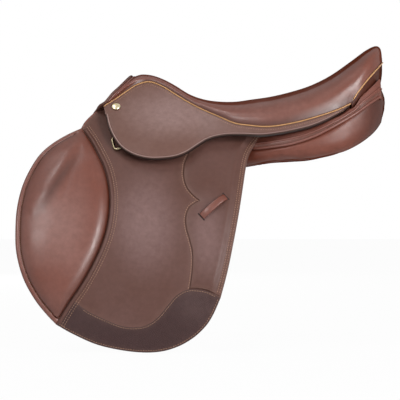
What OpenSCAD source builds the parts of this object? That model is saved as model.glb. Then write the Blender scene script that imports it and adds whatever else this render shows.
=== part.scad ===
// Jumping saddle, an assembly of leather, padding, tree and fittings
// X runs from the pommel to the cantle, Y across, Z up, millimetres
// The off side is drawn on +Y and the near side is its mirror image

/* [Overall] */
// Seat stretch behind the waist, 1 is a 17.5 inch seat
seat_stretch = 1; // [0.8:0.01:1.25]
// Drop of the flap below its bend line
flap_drop = 298; // [230:1:350]
// Half width of the saddle's side at the pommel level
side_top_y = 28; // [20:1:36]
// Half width of the saddle's side at the bottom of the flap
side_bottom_y = 191; // [165:1:225]
// Half width of the channel between the panels
gullet_half = 33; // [26:1:40]

/* [Seat] */
// Height of the pommel above the horse's back
pommel_z = 133; // [115:1:155]
// Height of the deepest point of the seat
seat_low_z = 86.6; // [80:0.2:105]
// Height of the cantle
cantle_z = 181; // [155:1:215]
// Thickness of the seat leather
cover_t = 3.5; // [2.5:0.1:4.5]
// Thickness of the seat foam
foam_t = 18; // [12:0.5:21]
// Radius of the piping
piping_r = 2.2; // [1.5:0.1:2.7]

/* [Leather sheets] */
// Thickness of the flap leather
flap_t = 4; // [3:0.1:4.8]
// Thickness of the facing on the flap
facing_t = 2; // [1.4:0.1:2.5]
// Thickness of the toe patch
patch_t = 2.8; // [2:0.1:3.6]
// Thickness of the skirt leather
skirt_t = 4.5; // [3.4:0.1:5.4]
// Space between the flap and the skirt, taken by the stirrup bar
skirt_space = 19; // [17.5:0.5:23]
// Thickness of a girth billet
billet_t = 4; // [3:0.1:4.3]
// Thickness of the sweat flap
sweat_t = 3; // [2:0.1:3.6]
// Clearance between neighbouring layers that slide
layer_gap = 0.9; // [0.7:0.05:1.2]
// Clearance between pieces that are sewn or laid together
seam_gap = 0.4; // [0.3:0.05:0.6]

/* [Padding] */
// Height of the knee pad's crown
knee_crown = 15; // [10:0.5:18]
// Height of the calf pad's crown
calf_crown = 3.6; // [2.5:0.1:4.4]

/* [Girth billets] */
// Width of a billet
billet_w = 25; // [20:1:30]
// Spacing of the billets
billet_pitch = 46; // [44:1:55]
// Radius of a buckle hole
hole_r = 2.5; // [2:0.1:3]
// Spacing of the buckle holes
hole_pitch = 25; // [20:1:28]
// Number of buckle holes in a billet
hole_count = 6; // [4:1:7]

/* [Stirrup bar] */
// Length of the bar's blade
blade_l = 60; // [50:1:72]
// Height of the bar's blade
blade_h = 16; // [13:0.5:19]
// Thickness of the bar's blade
blade_t = 4; // [3.2:0.1:4.6]
// Gap between the flap and the blade for the stirrup leather
blade_gap = 6.6; // [5.5:0.1:7]
// Radius of the safety catch's pin
pin_r = 1.8; // [1.4:0.1:2.1]
// Running clearance of the safety catch
catch_gap = 0.3; // [0.2:0.05:0.4]

/* [Fittings] */
// Wire radius of a dee
dee_r = 2; // [1.6:0.1:2.3]
// Length of a dee's bar
dee_w = 23; // [20:0.5:27]
// Reach of a dee from its bar
dee_l = 17; // [14:0.5:20]
// Radius of a nail head
nail_r = 7.5; // [6:0.1:9]
// Width of the leather keeper
keeper_w = 13; // [10:0.5:16]
// Length of the leather keeper
keeper_l = 54; // [46:1:62]

/* [Hidden] */
$fn = 48;
bend_z = -24;
flap_z = bend_z - flap_drop;
side_n = 26;
side = [[side_top_y, 100], [88, 15], [192, -80], [side_bottom_y, flap_z + 2]];
facing_d = flap_t + facing_t;
skirt_in = skirt_space;
skirt_out = skirt_space + skirt_t;
billet_out = -layer_gap;
billet_in = billet_out - billet_t;
sweat_out = billet_in - layer_gap;
sweat_in = sweat_out - sweat_t;
pad_in = flap_t + 0.3;
blade_d = facing_d + blade_gap + skirt_space - 19;
billet_x = [-82, -82 + billet_pitch, -82 + 2 * billet_pitch];
billet_top_z = 20;
plate_out = -12.5;
plate_in = -16.5;
bar_z = 35;
bar_x = -118;
dee_x = -126;
dee_z = 10;
dee_tilt = 13.7;
chape_r = dee_r + 0.5 + 2.2;
dee_d = facing_d + 0.3 + chape_r;
dee_lean = asin((dee_d - facing_d - dee_r - 0.4) / dee_l);

// Shapes

function lerp(a, b, t) = a + (b - a) * t;
function unit(v) = v / norm(v);
function clamp01(t) = min(1, max(0, t));
function smooth(a, b, x) = let (t = clamp01((x - a) / (b - a))) t * t * (3 - 2 * t);
function bez(p, t) = pow(1 - t, 3) * p[0] + 3 * pow(1 - t, 2) * t * p[1]
    + 3 * (1 - t) * t * t * p[2] + t * t * t * p[3];
function bez_d(p, t) = 3 * pow(1 - t, 2) * (p[1] - p[0]) + 6 * (1 - t) * t * (p[2] - p[1])
    + 3 * t * t * (p[3] - p[2]);

// Curve through points, at station u counted in points
function through(p, u) =
    let (n = len(p) - 1, i = min(n - 1, max(0, floor(u))), t = u - i)
    let (a = i > 0 ? p[i - 1] : 2 * p[0] - p[1], b = p[i], c = p[i + 1])
    let (d = i + 2 <= n ? p[i + 2] : 2 * p[n] - p[n - 1])
    0.5 * (2 * b + (c - a) * t + (2 * a - 5 * b + 4 * c - d) * t * t
    + (3 * b - a - 3 * c + d) * t * t * t);
function curve(p, n) = [for (i = [0 : (len(p) - 1) * n]) through(p, i / n)];
function loop(p, n) =
    let (m = len(p), q = concat([p[m - 1]], p, [p[0], p[1]]))
    [for (i = [0 : m * n - 1]) through(q, 1 + i / n)];
function value(p, x) = lookup(x, curve(p, 5));

// Side of the saddle, t runs down the side and d is measured outwards from the flap's lining
function side_b(t) = bez(side, t);
function side_nrm(t) = let (q = bez_d(side, t)) unit([-q[1], q[0]]);
function side_p(t, d) = side_b(t) + d * side_nrm(t);
function side_t(z, d, lo = -0.3, hi = 1.03, k = 24) =
    let (m = (lo + hi) / 2)
    k == 0 ? m : side_p(m, d)[1] > z ? side_t(z, d, m, hi, k - 1) : side_t(z, d, lo, m, k - 1);
function side_y(z, d) = side_p(side_t(z, d), d)[0];
function side_at(z, d) = side_p(side_t(z, d), d);
t_top = -0.12;
t_bend = side_t(bend_z, 0);
t_slit = seam_gap / norm(bez_d(side, t_bend));
function t_list(a, b) =
    concat([a], [for (i = [0 : side_n]) let (t = lerp(t_top, 1.005, i / side_n))
    if (t > a + 0.004 && t < b - 0.004) t], [b]);

// Leather sheet of the side: the outline in side view, between two distances from the flap's lining
module band(d1, d2, a, b, x1 = -330, x2 = 130) {
    ts = t_list(a, b);
    m = len(ts) - 1;
    translate([x1, 0, 0])
        rotate([90, 0, 90])
            linear_extrude(x2 - x1)
                polygon(concat([for (t = ts) side_p(t, d1)], [for (i = [0 : m]) side_p(ts[m - i], d2)]));
}

module sheet(outline, d1, d2, a = t_top, b = 1.005) {
    intersection() {
        band(d1, d2, a, b);
        translate([0, 400, 0])
            rotate([90, 0, 0])
                linear_extrude(400)
                    polygon(outline);
    }
}

// Place on the side: x along the saddle, y down the leather, z outwards from the flap's lining
module on_side(x, z) {
    t = side_t(z, 0);
    n = side_nrm(t);
    translate([x, side_b(t)[0], side_b(t)[1]])
        rotate([atan2(n[1], n[0]) - 90, 0, 0])
            children();
}

module near() {
    mirror([0, 1, 0])
        children();
}

// Solid between two grids of points, closed round its rim
function volume(p, f, i = 0, s = 0) =
    i == len(f) ? s : volume(p, f, i + 1, s + p[f[i][0]] * cross(p[f[i][1]], p[f[i][2]]));
module solid(p, f) {
    v = volume(p, f);
    polyhedron(p, v < 0 ? f : [for (q = f) [q[2], q[1], q[0]]]);
}

module skin(a, b) {
    r = len(a);
    c = len(a[0]);
    n = r * c;
    rim = concat([for (j = [0 : c - 2]) j], [for (i = [0 : r - 2]) i * c + c - 1],
        [for (j = [0 : c - 2]) n - 1 - j], [for (i = [0 : r - 2]) (r - 1 - i) * c]);
    m = len(rim);
    solid(concat([for (q = a) for (v = q) v], [for (q = b) for (v = q) v]),
        concat(
        [for (i = [0 : r - 2]) for (j = [0 : c - 2]) [i * c + j, i * c + j + 1, i * c + c + j]],
        [for (i = [0 : r - 2]) for (j = [0 : c - 2]) [i * c + j + 1, i * c + c + j + 1, i * c + c + j]],
        [for (i = [0 : r - 2]) for (j = [0 : c - 2]) [n + i * c + j, n + i * c + c + j, n + i * c + j + 1]],
        [for (i = [0 : r - 2]) for (j = [0 : c - 2])
            [n + i * c + j + 1, n + i * c + c + j, n + i * c + c + j + 1]],
        [for (k = [0 : m - 1]) [rim[k], n + rim[k], rim[(k + 1) % m]]],
        [for (k = [0 : m - 1]) [rim[(k + 1) % m], n + rim[k], n + rim[(k + 1) % m]]]));
}

// Solid through a row of closed sections, with end caps or closed into a ring
function mean(p) = [for (k = [0 : 2]) [for (q = p) q[k]] * [for (q = p) 1] / len(p)];
module loft(s, ring = false) {
    r = len(s);
    c = len(s[0]);
    n = r * c;
    last = ring ? r - 1 : r - 2;
    solid(concat([for (q = s) for (v = q) v], ring ? [] : [mean(s[0]), mean(s[r - 1])]),
        concat(
        [for (i = [0 : last]) for (j = [0 : c - 1])
            [i * c + j, i * c + (j + 1) % c, ((i + 1) % r) * c + j]],
        [for (i = [0 : last]) for (j = [0 : c - 1])
            [i * c + (j + 1) % c, ((i + 1) % r) * c + (j + 1) % c, ((i + 1) % r) * c + j]],
        ring ? [] : [for (j = [0 : c - 1]) [n, (j + 1) % c, j]],
        ring ? [] : [for (j = [0 : c - 1]) [n + 1, n - c + j, n - c + (j + 1) % c]]));
}

// Bar of a given section along a path
function along(p, i, ring) =
    let (n = len(p))
    unit(ring ? p[(i + 1) % n] - p[(i + n - 1) % n] : p[min(n - 1, i + 1)] - p[max(0, i - 1)]);
module sweep(path, section, up = [0, 0, 1], ups = [], ring = false) {
    loft([for (i = [0 : len(path) - 1])
        let (t = along(path, i, ring), s = unit(cross(len(ups) > 0 ? ups[i] : up, t)), w = cross(t, s))
        [for (q = section) path[i] + q[0] * s + q[1] * w]], ring);
}

function round_section(r, n) = [for (k = [0 : n - 1]) r * [cos(360 * k / n), sin(360 * k / n)]];

// Outlines in side view
function drop(z) = z > bend_z ? z : bend_z + (z - bend_z) * flap_drop / 298;
function dropped(p) = [for (q = p) [q[0], drop(q[1])]];
function stretch(x) = x > 0 ? x * seat_stretch : x;

flap_front = [[-161, 78], [-177, 64], [-190, 50], [-196, 39]];
knee_edge = dropped([[-196, 39], [-219, 28], [-242, 13.5], [-261.5, -4.5], [-276, -28], [-288, -57],
    [-295, -91],
    [-296.5, -125], [-294, -164], [-282.5, -204], [-264, -237.5], [-244.5, -262], [-229, -278]]);
flap_foot = dropped([[-229, -278], [-201, -293.5], [-161.5, -310.5], [-113, -320.5], [-72, -322], [-40, -315],
    [-12.5, -300.5], [8, -282], [21, -262.5], [33, -235.5]]);
flap_rear = dropped([[33, -235.5], [44.5, -192], [54.5, -144], [63, -99], [70, -56], [76, -20], [82, -2],
    [91, 12], [102, 25]]);
knee_seam = dropped([[-195, 38], [-181, 19], [-167, -5], [-155, -29.5], [-147, -61], [-145.5, -93],
    [-149.5, -124.5], [-157.5, -151.5], [-170, -180], [-188, -213], [-210, -246], [-228, -276]]);
s_seam_a = dropped([[-20, -5], [-26, -21], [-27, -41], [-22, -59], [-12, -72], [-1, -81]]);
s_seam_b = dropped([[-1, -81], [-8, -84], [-18, -92], [-23, -106], [-23, -122], [-18, -141], [-13, -160],
    [-12, -180], [-14, -203], [-17, -222]]);
patch_top = dropped([[-200, -240], [-179, -256], [-152, -269], [-127, -279], [-106, -282], [-86, -279],
    [-68, -267], [-52, -248], [-38, -232], [-22, -223], [-5, -222], [14, -226], [33, -235.5]]);
skirt_fold = [[-156, 60], [9, 17]];
skirt_edge = [[-156, 60], [-150, 39], [-141, 21], [-128, 5], [-108, -7], [-84, -13], [-60, -13], [-39, -10],
    [-21, -3], [-6, 7], [9, 17]];
tail_edge = [[9, 17], [24, 22.6], [46, 26], [73, 26], [101, 25], [127, 28], [150, 32], [180, 39.4],
    [205, 49.4], [230, 62.8], [247, 74.6]];
skirt_tail = [for (q = tail_edge) [stretch(q[0]), q[1]]];
// Side edge of the seat and its ridge line, station by station
seat_edge = [for (q = [[-160, 75], [-142, 87], [-122, 102], [-105, 113], [-85, 118], [-63, 110], [-41, 96],
    [-17, 81], [8, 68], [33, 56.5], [57, 46], [82, 42], [106, 40], [131, 42], [164, 48.6], [197, 58],
    [222, 66.5], [237, 73], [244, 76.5], [248, 78.5], [250, 79.6]]) [stretch(q[0]), q[1]]];
dz_p = pommel_z - 133;
dz_s = seat_low_z - 86.6;
dz_c = cantle_z - 181;
seat_ridge = [for (q = [[-112, 129 + dz_p], [-105, 131.6 + dz_p], [-98, 133 + dz_p], [-88, 132.6 + dz_p],
    [-76, 130 + dz_p], [-60, 123.7 + lerp(dz_p, dz_s, 0.2)], [-42, 114 + lerp(dz_p, dz_s, 0.45)],
    [-17, 98.6 + lerp(dz_p, dz_s, 0.8)], [8, 90 + dz_s], [34, 86.6 + dz_s], [60, 86.6 + dz_s],
        [85, 90 + dz_s],
    [119, 95 + dz_s], [153, 103 + lerp(dz_s, dz_c, 0.3)], [187, 114 + lerp(dz_s, dz_c, 0.5)],
    [221, 131 + lerp(dz_s, dz_c, 0.8)], [255, 154.6 + dz_c], [280, 173 + dz_c], [297, 181 + dz_c],
    [306, 176 + dz_c], [309, 157 + dz_c]]) [stretch(q[0]), q[1]]];

function flare(x) = x < 0 ? 0 : 32 * (1 - exp(-x / 150));
function skirt_y(x, z, d) = side_y(z, d) + flare(x);
edge_lift = piping_r + 1.8;
function edge_p(u) = let (q = through(seat_edge, u)) [q[0], skirt_y(q[0], q[1], skirt_out - 1), q[1]];
// Seat surface, a from -90 at the off edge to 90 at the near edge
function seat_p(u, a) =
    let (e = edge_p(u), c = through(seat_ridge, u), k = cos(a), h = pow(max(0, k), 0.8))
    [lerp(e[0], c[0], k), -e[1] * sin(a), lerp(e[2] + edge_lift, c[1], h)];
function seat_nrm(u, a) =
    let (e = 0.04, f = 1.5)
    let (p = seat_p(min(20, u + e), a) - seat_p(max(0, u - e), a))
    let (q = seat_p(u, max(-88, a - f)) - seat_p(u, min(88, a + f)))
    unit(cross(p, q));
function seat_in(u, a, d) = seat_p(u, a) - d * seat_nrm(u, a);
front_u = 0.25;
seat_u = concat([for (i = [0 : 19]) max(front_u, i * 0.8)], [for (i = [0 : 8]) 16 + i * 0.5]);
seat_a = [for (j = [0 : 16]) -86 + 10.75 * j];
foam_u = [for (u = seat_u) if (u > 2.3 && u < 17.6) u];
foam_a = [for (a = seat_a) if (abs(a) < 58) a];
function foam_top(u, a) = seat_in(u, a, cover_t + 0.6);
function foam_low(u, a) = foam_top(u, a) - [0, 0, foam_t * (1 - 0.3 * pow(a / 64, 2))];
tree_d = 13;

// Fixed pieces

module tree() {
    half = [[3, 0], [3, 24], [3.2, 44], [3.8, 52], [5, 47], [7, 42], [9, 39], [11, 37], [13, 36],
        [14.4, 34], [15.3, 27], [15.8, 15], [16, 0]];
    at = [for (i = [0 : 24]) through(half, i / 2)];
    right = [for (q = at) foam_low(q[0], -q[1]) - 8.7 * seat_nrm(q[0], -q[1])];
    left = [for (i = [1 : 23]) let (q = right[24 - i]) [q[0], -q[1], q[2]]];
    up_right = [for (q = at) seat_nrm(q[0], -q[1])];
    up_left = [for (i = [1 : 23]) let (q = up_right[24 - i]) [q[0], -q[1], q[2]]];
    color("BurlyWood")
        sweep(concat(right, left), [[-11, -5], [11, -5], [11, 5], [-11, 5]], ups = concat(up_right, up_left),
            ring = true);
}

module head_plate() {
    ts = t_list(side_t(58, plate_out), side_t(24, plate_out));
    m = len(ts) - 1;
    arch = [[0, 88], [22, 88], side_p(ts[0], plate_out) + [-6, 14], side_p(ts[0], plate_out)];
    under = [[0, 84], [20, 84], side_p(ts[0], plate_in) + [-6, 12], side_p(ts[0], plate_in)];
    half = concat([for (i = [0 : 8]) bez(arch, i / 9)], [for (t = ts) side_p(t, plate_out)],
        [for (i = [0 : m]) side_p(ts[m - i], plate_in)], [for (i = [1 : 9]) bez(under, 1 - i / 9)]);
    color("Silver")
        union() {
            translate([-110, 0, 0])
                rotate([90, 0, 90])
                    linear_extrude(54)
                        polygon(half);
            near()
                translate([-110, 0, 0])
                    rotate([90, 0, 90])
                        linear_extrude(54)
                            polygon(half);
        }
}

module bar_rivet(x) {
    on_side(x, bar_z)
        translate([0, 0, -11.9])
            union() {
                cylinder(r = 2.4, h = 7);
                translate([0, 0, 5.9])
                    cylinder(r1 = 4.5, r2 = 3.4, h = 1.9);
            }
}

module tree_rivets() {
    color("Gainsboro") {
        bar_rivet(-104);
        bar_rivet(-62);
        near() bar_rivet(-104);
        near() bar_rivet(-62);
    }
}

// Room from the middle of the tree's rail to the edge of the webbing
rail_gap = 12.752;
web_half = foam_low(4.4, -49.5)[1] - rail_gap;
module seat_webbing() {
    us = [for (i = [0 : 26]) 4.4 + i * 0.38];
    top = [for (u = us) let (q = foam_low(u, 0)) [q[0], q[2] - 1.45]];
    m = len(us) - 1;
    color("Linen")
        translate([0, web_half, 0])
            rotate([90, 0, 0])
                linear_extrude(2 * web_half)
                    polygon(concat(top, [for (i = [0 : m]) top[m - i] - [0, 2]]));
}

module girth_strip(x) {
    sheet([[x - billet_w / 2, billet_top_z + seam_gap], [x + billet_w / 2, billet_top_z + seam_gap],
        [x + billet_w / 2, 40], [x - billet_w / 2, 40]], billet_in + 1, billet_out - 1);
}

module girth_webbing() {
    color("Linen") {
        for (x = billet_x) girth_strip(x);
        near() for (x = billet_x) girth_strip(x);
    }
}

module seat_foam() {
    color("Khaki")
        skin([for (u = foam_u) [for (a = foam_a) foam_top(u, a)]],
            [for (u = foam_u) [for (a = foam_a) foam_low(u, a)]]);
}

module seat_cover() {
    color("SaddleBrown")
        skin([for (u = seat_u) [for (a = seat_a) seat_p(u, a)]],
            [for (u = seat_u) [for (a = seat_a) seat_in(u, a, cover_t)]]);
}

module side_piping() {
    sweep([for (i = [0 : 38]) edge_p(i * 0.5)], round_section(piping_r, 6), up = [0, 1, 0]);
}

module seat_piping() {
    color("Peru") {
        side_piping();
        near() side_piping();
        sweep([for (j = [0 : 28])
            let (a = -77 + 5.5 * j) seat_p(20, a) + [0.6 * cos(a), -0.6 * sin(a), -edge_lift]],
            round_section(piping_r, 6));
    }
}

// Facing of the pommel arch, rolled round the front edge of the seat
facing_out = [[0.5, 0.4], [2, -0.2], [3.4, 0.6], [4.6, 1.6], [5.2, 3.4], [5, 6], [3.6, 8.4]];
facing_in = [[0.5, 3], [1.4, 2.8], [2, 3], [2.4, 3.4], [2.6, 4.2], [2.4, 5.6], [1.6, 7.4]];
module pommel_facing() {
    as = [for (j = [0 : 16]) seat_a[16 - j]];
    function ahead(a) = unit(seat_p(front_u, a) - seat_p(front_u + 0.05, a));
    function p(a, q) = seat_p(front_u, a) + q[0] * ahead(a) - q[1] * seat_nrm(front_u, a);
    color("Sienna")
        skin([for (a = as) [for (q = facing_out) p(a, q)]], [for (a = as) [for (q = facing_in) p(a, q)]]);
}

module cantle_facing() {
    as = [for (j = [0 : 16]) -76 + 9.5 * j];
    function top(a) = seat_p(20, a) + [0, 0, -edge_lift * 2 - 0.2];
    function low(a) =
        let (k = cos(a)) [stretch(247) + 50 * k, -sin(a) * (edge_p(20)[1] - 4), 70 + 53 * pow(k, 0.8) + dz_c * k];
    function p(a, t) = let (q = top(a), r = low(a)) [lerp(q[0], r[0], t), lerp(q[1], r[1], t),
        min(q[2] - 0.8 * t, lerp(q[2], r[2], t))];
    color("Sienna")
        skin([for (t = [0, 0.5, 1]) [for (a = as) p(a, t)]],
            [for (t = [0, 0.5, 1]) [for (a = as) p(a, t) + 3.5 * [-cos(a), sin(a), -0.25]]]);
}

// Panel, the stuffed cushion on each side of the channel
panel_x = [-171, -166, -152, -125, -85, -40, -16, 6, 26, 46, 64, 82, 100, 125, 150, 178, 204, 228, 248, 267, 283,
    295, 303, 307, 309];
function panel_top_in(x) = value([[-171, 42], [60, 42], [100, 45], [150, 49], [200, 61], [240, 83],
    [270, 104], [300, 107], [309, 102]], x);
function panel_top_out(x) = value([[60, 6], [91, 5.5], [138, 11], [163, 17], [188, 26], [212, 38], [237, 52],
    [260, 66], [281, 81], [300, 92], [309, 90]], x);
function panel_low(x) = value([[60, -25], [77, -23], [100, -19.5], [130, -14.5], [160, -12.5],
    [188, -11], [212, -6.5], [237, -0.7], [259, 9.5], [278, 22], [292, 34], [302, 47], [309, 60]], x);
function panel_out(x) = value([[60, 88], [85, 94], [100, 101], [118, 110], [150, 118], [190, 119], [230, 114],
    [260, 104], [280, 93], [296, 77], [304, 66], [309, 57]], x);
function panel_size(x) = value([[-171, 0.35], [-166, 0.72], [-152, 0.95], [-125, 1], [200, 1], [295, 1],
    [303, 0.9], [307, 0.72], [309, 0.5]], x);
function panel_section(x) =
    let (g = gullet_half, yo = panel_out(x), zi = panel_top_in(x), zo = panel_top_out(x), zb = panel_low(x))
    let (k = smooth(-34, 72, x), d = sweat_in - 1.5)
    let (front = [[g, 24], [g + 8, zi - 1], side_at(29, -20), side_at(-6, d), side_at(-50, d),
        side_at(-84, d - 6), side_at(-44, d - 29), side_at(-8, d - 36), [g + 8, 8]])
    let (rear = [[g, lerp(zb, zi, 0.72)], [g + 9, zi - 3], [lerp(g, yo, 0.5), zi - 1], [yo - 5, zo],
        [yo, lerp(zo, zb, 0.45)], [yo - 9, lerp(zo, zb, 0.88)], [lerp(g, yo, 0.62), zb],
        [lerp(g, yo, 0.3), lerp(zb, zi, 0.14)], [g + 1, lerp(zb, zi, 0.38)]])
    let (ring = loop([for (i = [0 : 8]) lerp(front[i], rear[i], k)], 2), n = len(ring))
    let (c = [[for (q = ring) q[0]] * [for (q = ring) 1], [for (q = ring) q[1]] * [for (q = ring) 1]] / n)
    [for (q = ring) let (v = c + (q - c) * panel_size(x)) [stretch(x), v[0], v[1]]];

module panel() {
    color("SaddleBrown")
        loft([for (x = panel_x) panel_section(x)]);
}

module near_panel() {
    near() panel();
}

module off_panel() {
    panel();
}

module panel_gusset() {
    st = curve([[104, 23, 0], [120, 25, 0], [140, 28.5, 0], [165, 34.5, 0], [190, 43, 0], [214, 53.5, 0],
        [238, 69, 0], [258, 84.5, 0], [276, 100, 0], [290, 113, 0], [298, 121, 0]], 2);
    color("Sienna")
        loft([for (q = st)
            let (x = q[0], yo = panel_out(x), zl = panel_top_out(x) - 1.3)
            let (cap = lookup(x, curve(tail_edge, 5)) - 2.2 - 2.5 * smooth(210, 238, x))
            let (zu = lerp(min(q[1], cap), q[1], smooth(246, 266, x)), y2 = yo - 3 - 0.12 * (zu - zl))
            [[stretch(x), yo + 1, zl], [stretch(x), y2, zu], [stretch(x), y2 - 3.5, zu],
            [stretch(x), yo - 3.3, zl]]]);
}

module near_panel_gusset() {
    near() panel_gusset();
}

module off_panel_gusset() {
    panel_gusset();
}

// Stirrup bar: plate on the tree, leg through the flap, open blade with a lap for the safety catch
lap_l = 11;
module stirrup_bar() {
    end = blade_l - lap_l;
    color("Silver")
        on_side(bar_x, bar_z)
            difference() {
                union() {
                    translate([0, -12, -10])
                        cube([66, 24, 4]);
                    translate([0, -blade_h / 2 + 2, -6])
                        cube([9, blade_h - 4, blade_d + 6 + blade_t]);
                    translate([0, -blade_h / 2 + blade_t / 2, blade_d])
                        cube([blade_l, blade_h - blade_t, blade_t]);
                    for (s = [-1, 1])
                        translate([0, s * (blade_h - blade_t) / 2, blade_d + blade_t / 2])
                            rotate([0, 90, 0])
                                cylinder(d = blade_t, h = blade_l);
                }
                translate([end, -blade_h, blade_d + blade_t / 2])
                    cube([lap_l + 1, 2 * blade_h, blade_t]);
                translate([end + lap_l / 2, 0, blade_d - 1])
                    cylinder(r = pin_r, h = blade_t + 2);
                for (x = [-104, -62])
                    translate([x - bar_x, 0, -11])
                        cylinder(r = 2.6, h = 6);
            }
}

module near_stirrup_bar() {
    near() stirrup_bar();
}

module off_stirrup_bar() {
    stirrup_bar();
}

catch_x = bar_x + blade_l - lap_l / 2;
module bar_catch() {
    t = blade_t / 2 - catch_gap;
    color("LightSlateGray")
        on_side(catch_x, bar_z)
            translate([0, 0, blade_d + blade_t / 2 + catch_gap])
                difference() {
                    union() {
                        cylinder(d = lap_l - 2 * catch_gap, h = t);
                        translate([0, -lap_l / 2 + 1.2, 0])
                            cube([22, lap_l - 2.4, t]);
                        translate([22, 0, 0])
                            cylinder(d = lap_l - 2.4, h = t);
                    }
                    translate([0, 0, -1])
                        cylinder(r = pin_r + catch_gap, h = t + 2);
                }
}

module near_bar_catch() {
    near() bar_catch();
}

module off_bar_catch() {
    bar_catch();
}

module catch_pin() {
    on_side(catch_x, bar_z)
        translate([0, 0, blade_d])
            union() {
                cylinder(r = pin_r - 0.02, h = blade_t);
                translate([0, 0, blade_t + catch_gap])
                    cylinder(r = pin_r + 1.2, h = 1);
                translate([0, 0, blade_t - 0.5])
                    cylinder(r = pin_r - 0.02, h = 1);
            }
}

module catch_pins() {
    color("Gainsboro") {
        catch_pin();
        near() catch_pin();
    }
}

// Skirt above its fold line, with the tail that runs along the seat
module skirt() {
    n = 30;
    us = [for (i = [0 : n]) 0.12 + i * 18.4 / n];
    function low(x) = x < 9 ? lerp(60, 17, (x + 156) / 165) + 0.6 :
        lookup(x, curve(skirt_tail, 5)) + 0.4 * (1 - smooth(9, 20, x));
    rows = [for (u = us)
        let (e = edge_p(u), x = e[0], top = e[2] - piping_r - 1.3, z2 = min(top - 1.6, low(x)))
        [for (t = [0 : 3]) [x, lerp(top, z2, t / 3)]]];
    color("SaddleBrown")
        skin([for (r = rows) [for (q = r) [q[0], skirt_y(q[0], q[1], skirt_out), q[1]]]],
            [for (r = rows) [for (q = r) [q[0], skirt_y(q[0], q[1], skirt_in), q[1]]]]);
}

module near_skirt() {
    near() skirt();
}

module off_skirt() {
    skirt();
}

module skirt_flap() {
    color("SaddleBrown")
        sheet(curve(skirt_edge, 4), skirt_in, skirt_out);
}

module near_skirt_flap() {
    near() skirt_flap();
}

module off_skirt_flap() {
    skirt_flap();
}

module nail() {
    on_side(-139, 60)
        translate([0, 0, 0])
            translate([0, 0, skirt_out + 0.3])
                rotate_extrude()
                    polygon(concat([[0, 0]], [for (i = [0 : 6])
                        let (a = 15 * i) [nail_r * cos(a), 1 + 3 * sin(a)]]));
}

module skirt_nails() {
    color("LightGoldenrodYellow") {
        nail();
        near() nail();
    }
}

// Flap, one leather that bends along a line under the skirt: a fixed head and a lifting flap
flap_top = [[102, 25], [-20, 44], [-161, 78]];
flap_outline = concat(curve(flap_front, 3), curve(knee_edge, 3), curve(flap_foot, 3),
    curve(flap_rear, 3), flap_top);
head_outline = concat([[-161, 78], [-176, 63], [-188, 49]], [for (p = curve(knee_seam, 3)) if (p[1] > -60) p],
    [for (p = curve(flap_rear, 3)) if (p[1] > -60) p], flap_top);

module flap_head() {
    color("Sienna")
        difference() {
            union() {
                sheet(flap_outline, 0, flap_t, t_top, t_bend - t_slit);
                sheet(head_outline, flap_t, facing_d, t_top, t_bend - t_slit);
            }
            on_side(bar_x, bar_z)
                translate([-1, -blade_h / 2 + 1, -5])
                    cube([11, blade_h - 2, 20]);
        }
}

module near_flap_head() {
    near() flap_head();
}

module off_flap_head() {
    flap_head();
}

module flap() {
    color("Sienna")
        sheet(flap_outline, 0, flap_t, t_bend, 1.005);
}

module near_flap() {
    near() flap();
}

module off_flap() {
    flap();
}

// Facing from the knee seam to the S seam and down to the toe patch
patch_z = drop(-241);
main_outline = concat([for (p = curve(knee_seam, 3)) if (p[1] > patch_z + 3) p],
    [for (p = curve(patch_top, 3)) if (p[0] < -17) p],
    [for (i = [0 : 27]) through(s_seam_b, 9 - i / 3)], [for (i = [0 : 15]) through(s_seam_a, 5 - i / 3)],
    [[-20, 30], [-190, 60]]);
module flap_facing() {
    color("RosyBrown")
        sheet(main_outline, flap_t, facing_d, t_bend, 1.005);
}

module near_flap_facing() {
    near() flap_facing();
}

module off_flap_facing() {
    flap_facing();
}

module toe_patch() {
    top = [for (p = curve(patch_top, 3)) if (p[0] < 33) p - [0, seam_gap]];
    m = len(top) - 1;
    color("Maroon")
        sheet(concat(curve(flap_foot, 3), [for (i = [0 : m]) top[m - i]],
            [for (p = curve(knee_seam, 3)) if (p[1] < patch_z + 1) p]),
                flap_t, flap_t + patch_t, t_bend, 1.005);
}

module near_toe_patch() {
    near() toe_patch();
}

module off_toe_patch() {
    toe_patch();
}

// Padding on the flap: crowned between its edges, thin at the rim
function edge_x(p, z) = lookup(-z, [for (q = curve(p, 4)) [-q[1], q[0]]]);
function dome(u) = pow(max(0, sin(180 * u)), 0.62);
module pad(rear_edge, front_edge, t1, t2, ta, tb, crown, rows, cols, inset) {
    ts = [for (i = [0 : rows]) lerp(t1, t2, i / rows)];
    function row(t, low) =
        let (z = side_p(t, flap_t + 2)[1],
            xa = edge_x(front_edge, z) + inset, xb = max(xa + 1.6, edge_x(rear_edge, z) - inset))
        [for (j = [0 : cols])
            let (u = j / cols, h = 1.8 + crown * dome(u) * pow(dome((t - ta) / (tb - ta)), 0.8) * smooth(0, 60, xb - xa))
            let (s = side_p(t, low ? pad_in : pad_in + h)) [lerp(xa, xb, u), s[0], s[1]]];
    skin([for (t = ts) row(t, false)], [for (t = ts) row(t, true)]);
}

t_knee_a = side_t(36.5, flap_t + 2);
t_knee_b = side_t(drop(-272), flap_t + 2);
module knee_pad_tip() {
    color("Brown")
        pad(knee_seam, knee_edge, t_knee_a, t_bend - t_slit, t_knee_a, t_knee_b, knee_crown, 6, 9, 1.2);
}

module near_knee_pad_tip() {
    near() knee_pad_tip();
}

module off_knee_pad_tip() {
    knee_pad_tip();
}

module knee_pad() {
    color("Brown")
        pad(knee_seam, knee_edge, t_bend, t_knee_b, t_knee_a, t_knee_b, knee_crown, 17, 9, 1.2);
}

module near_knee_pad() {
    near() knee_pad();
}

module off_knee_pad() {
    knee_pad();
}

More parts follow.
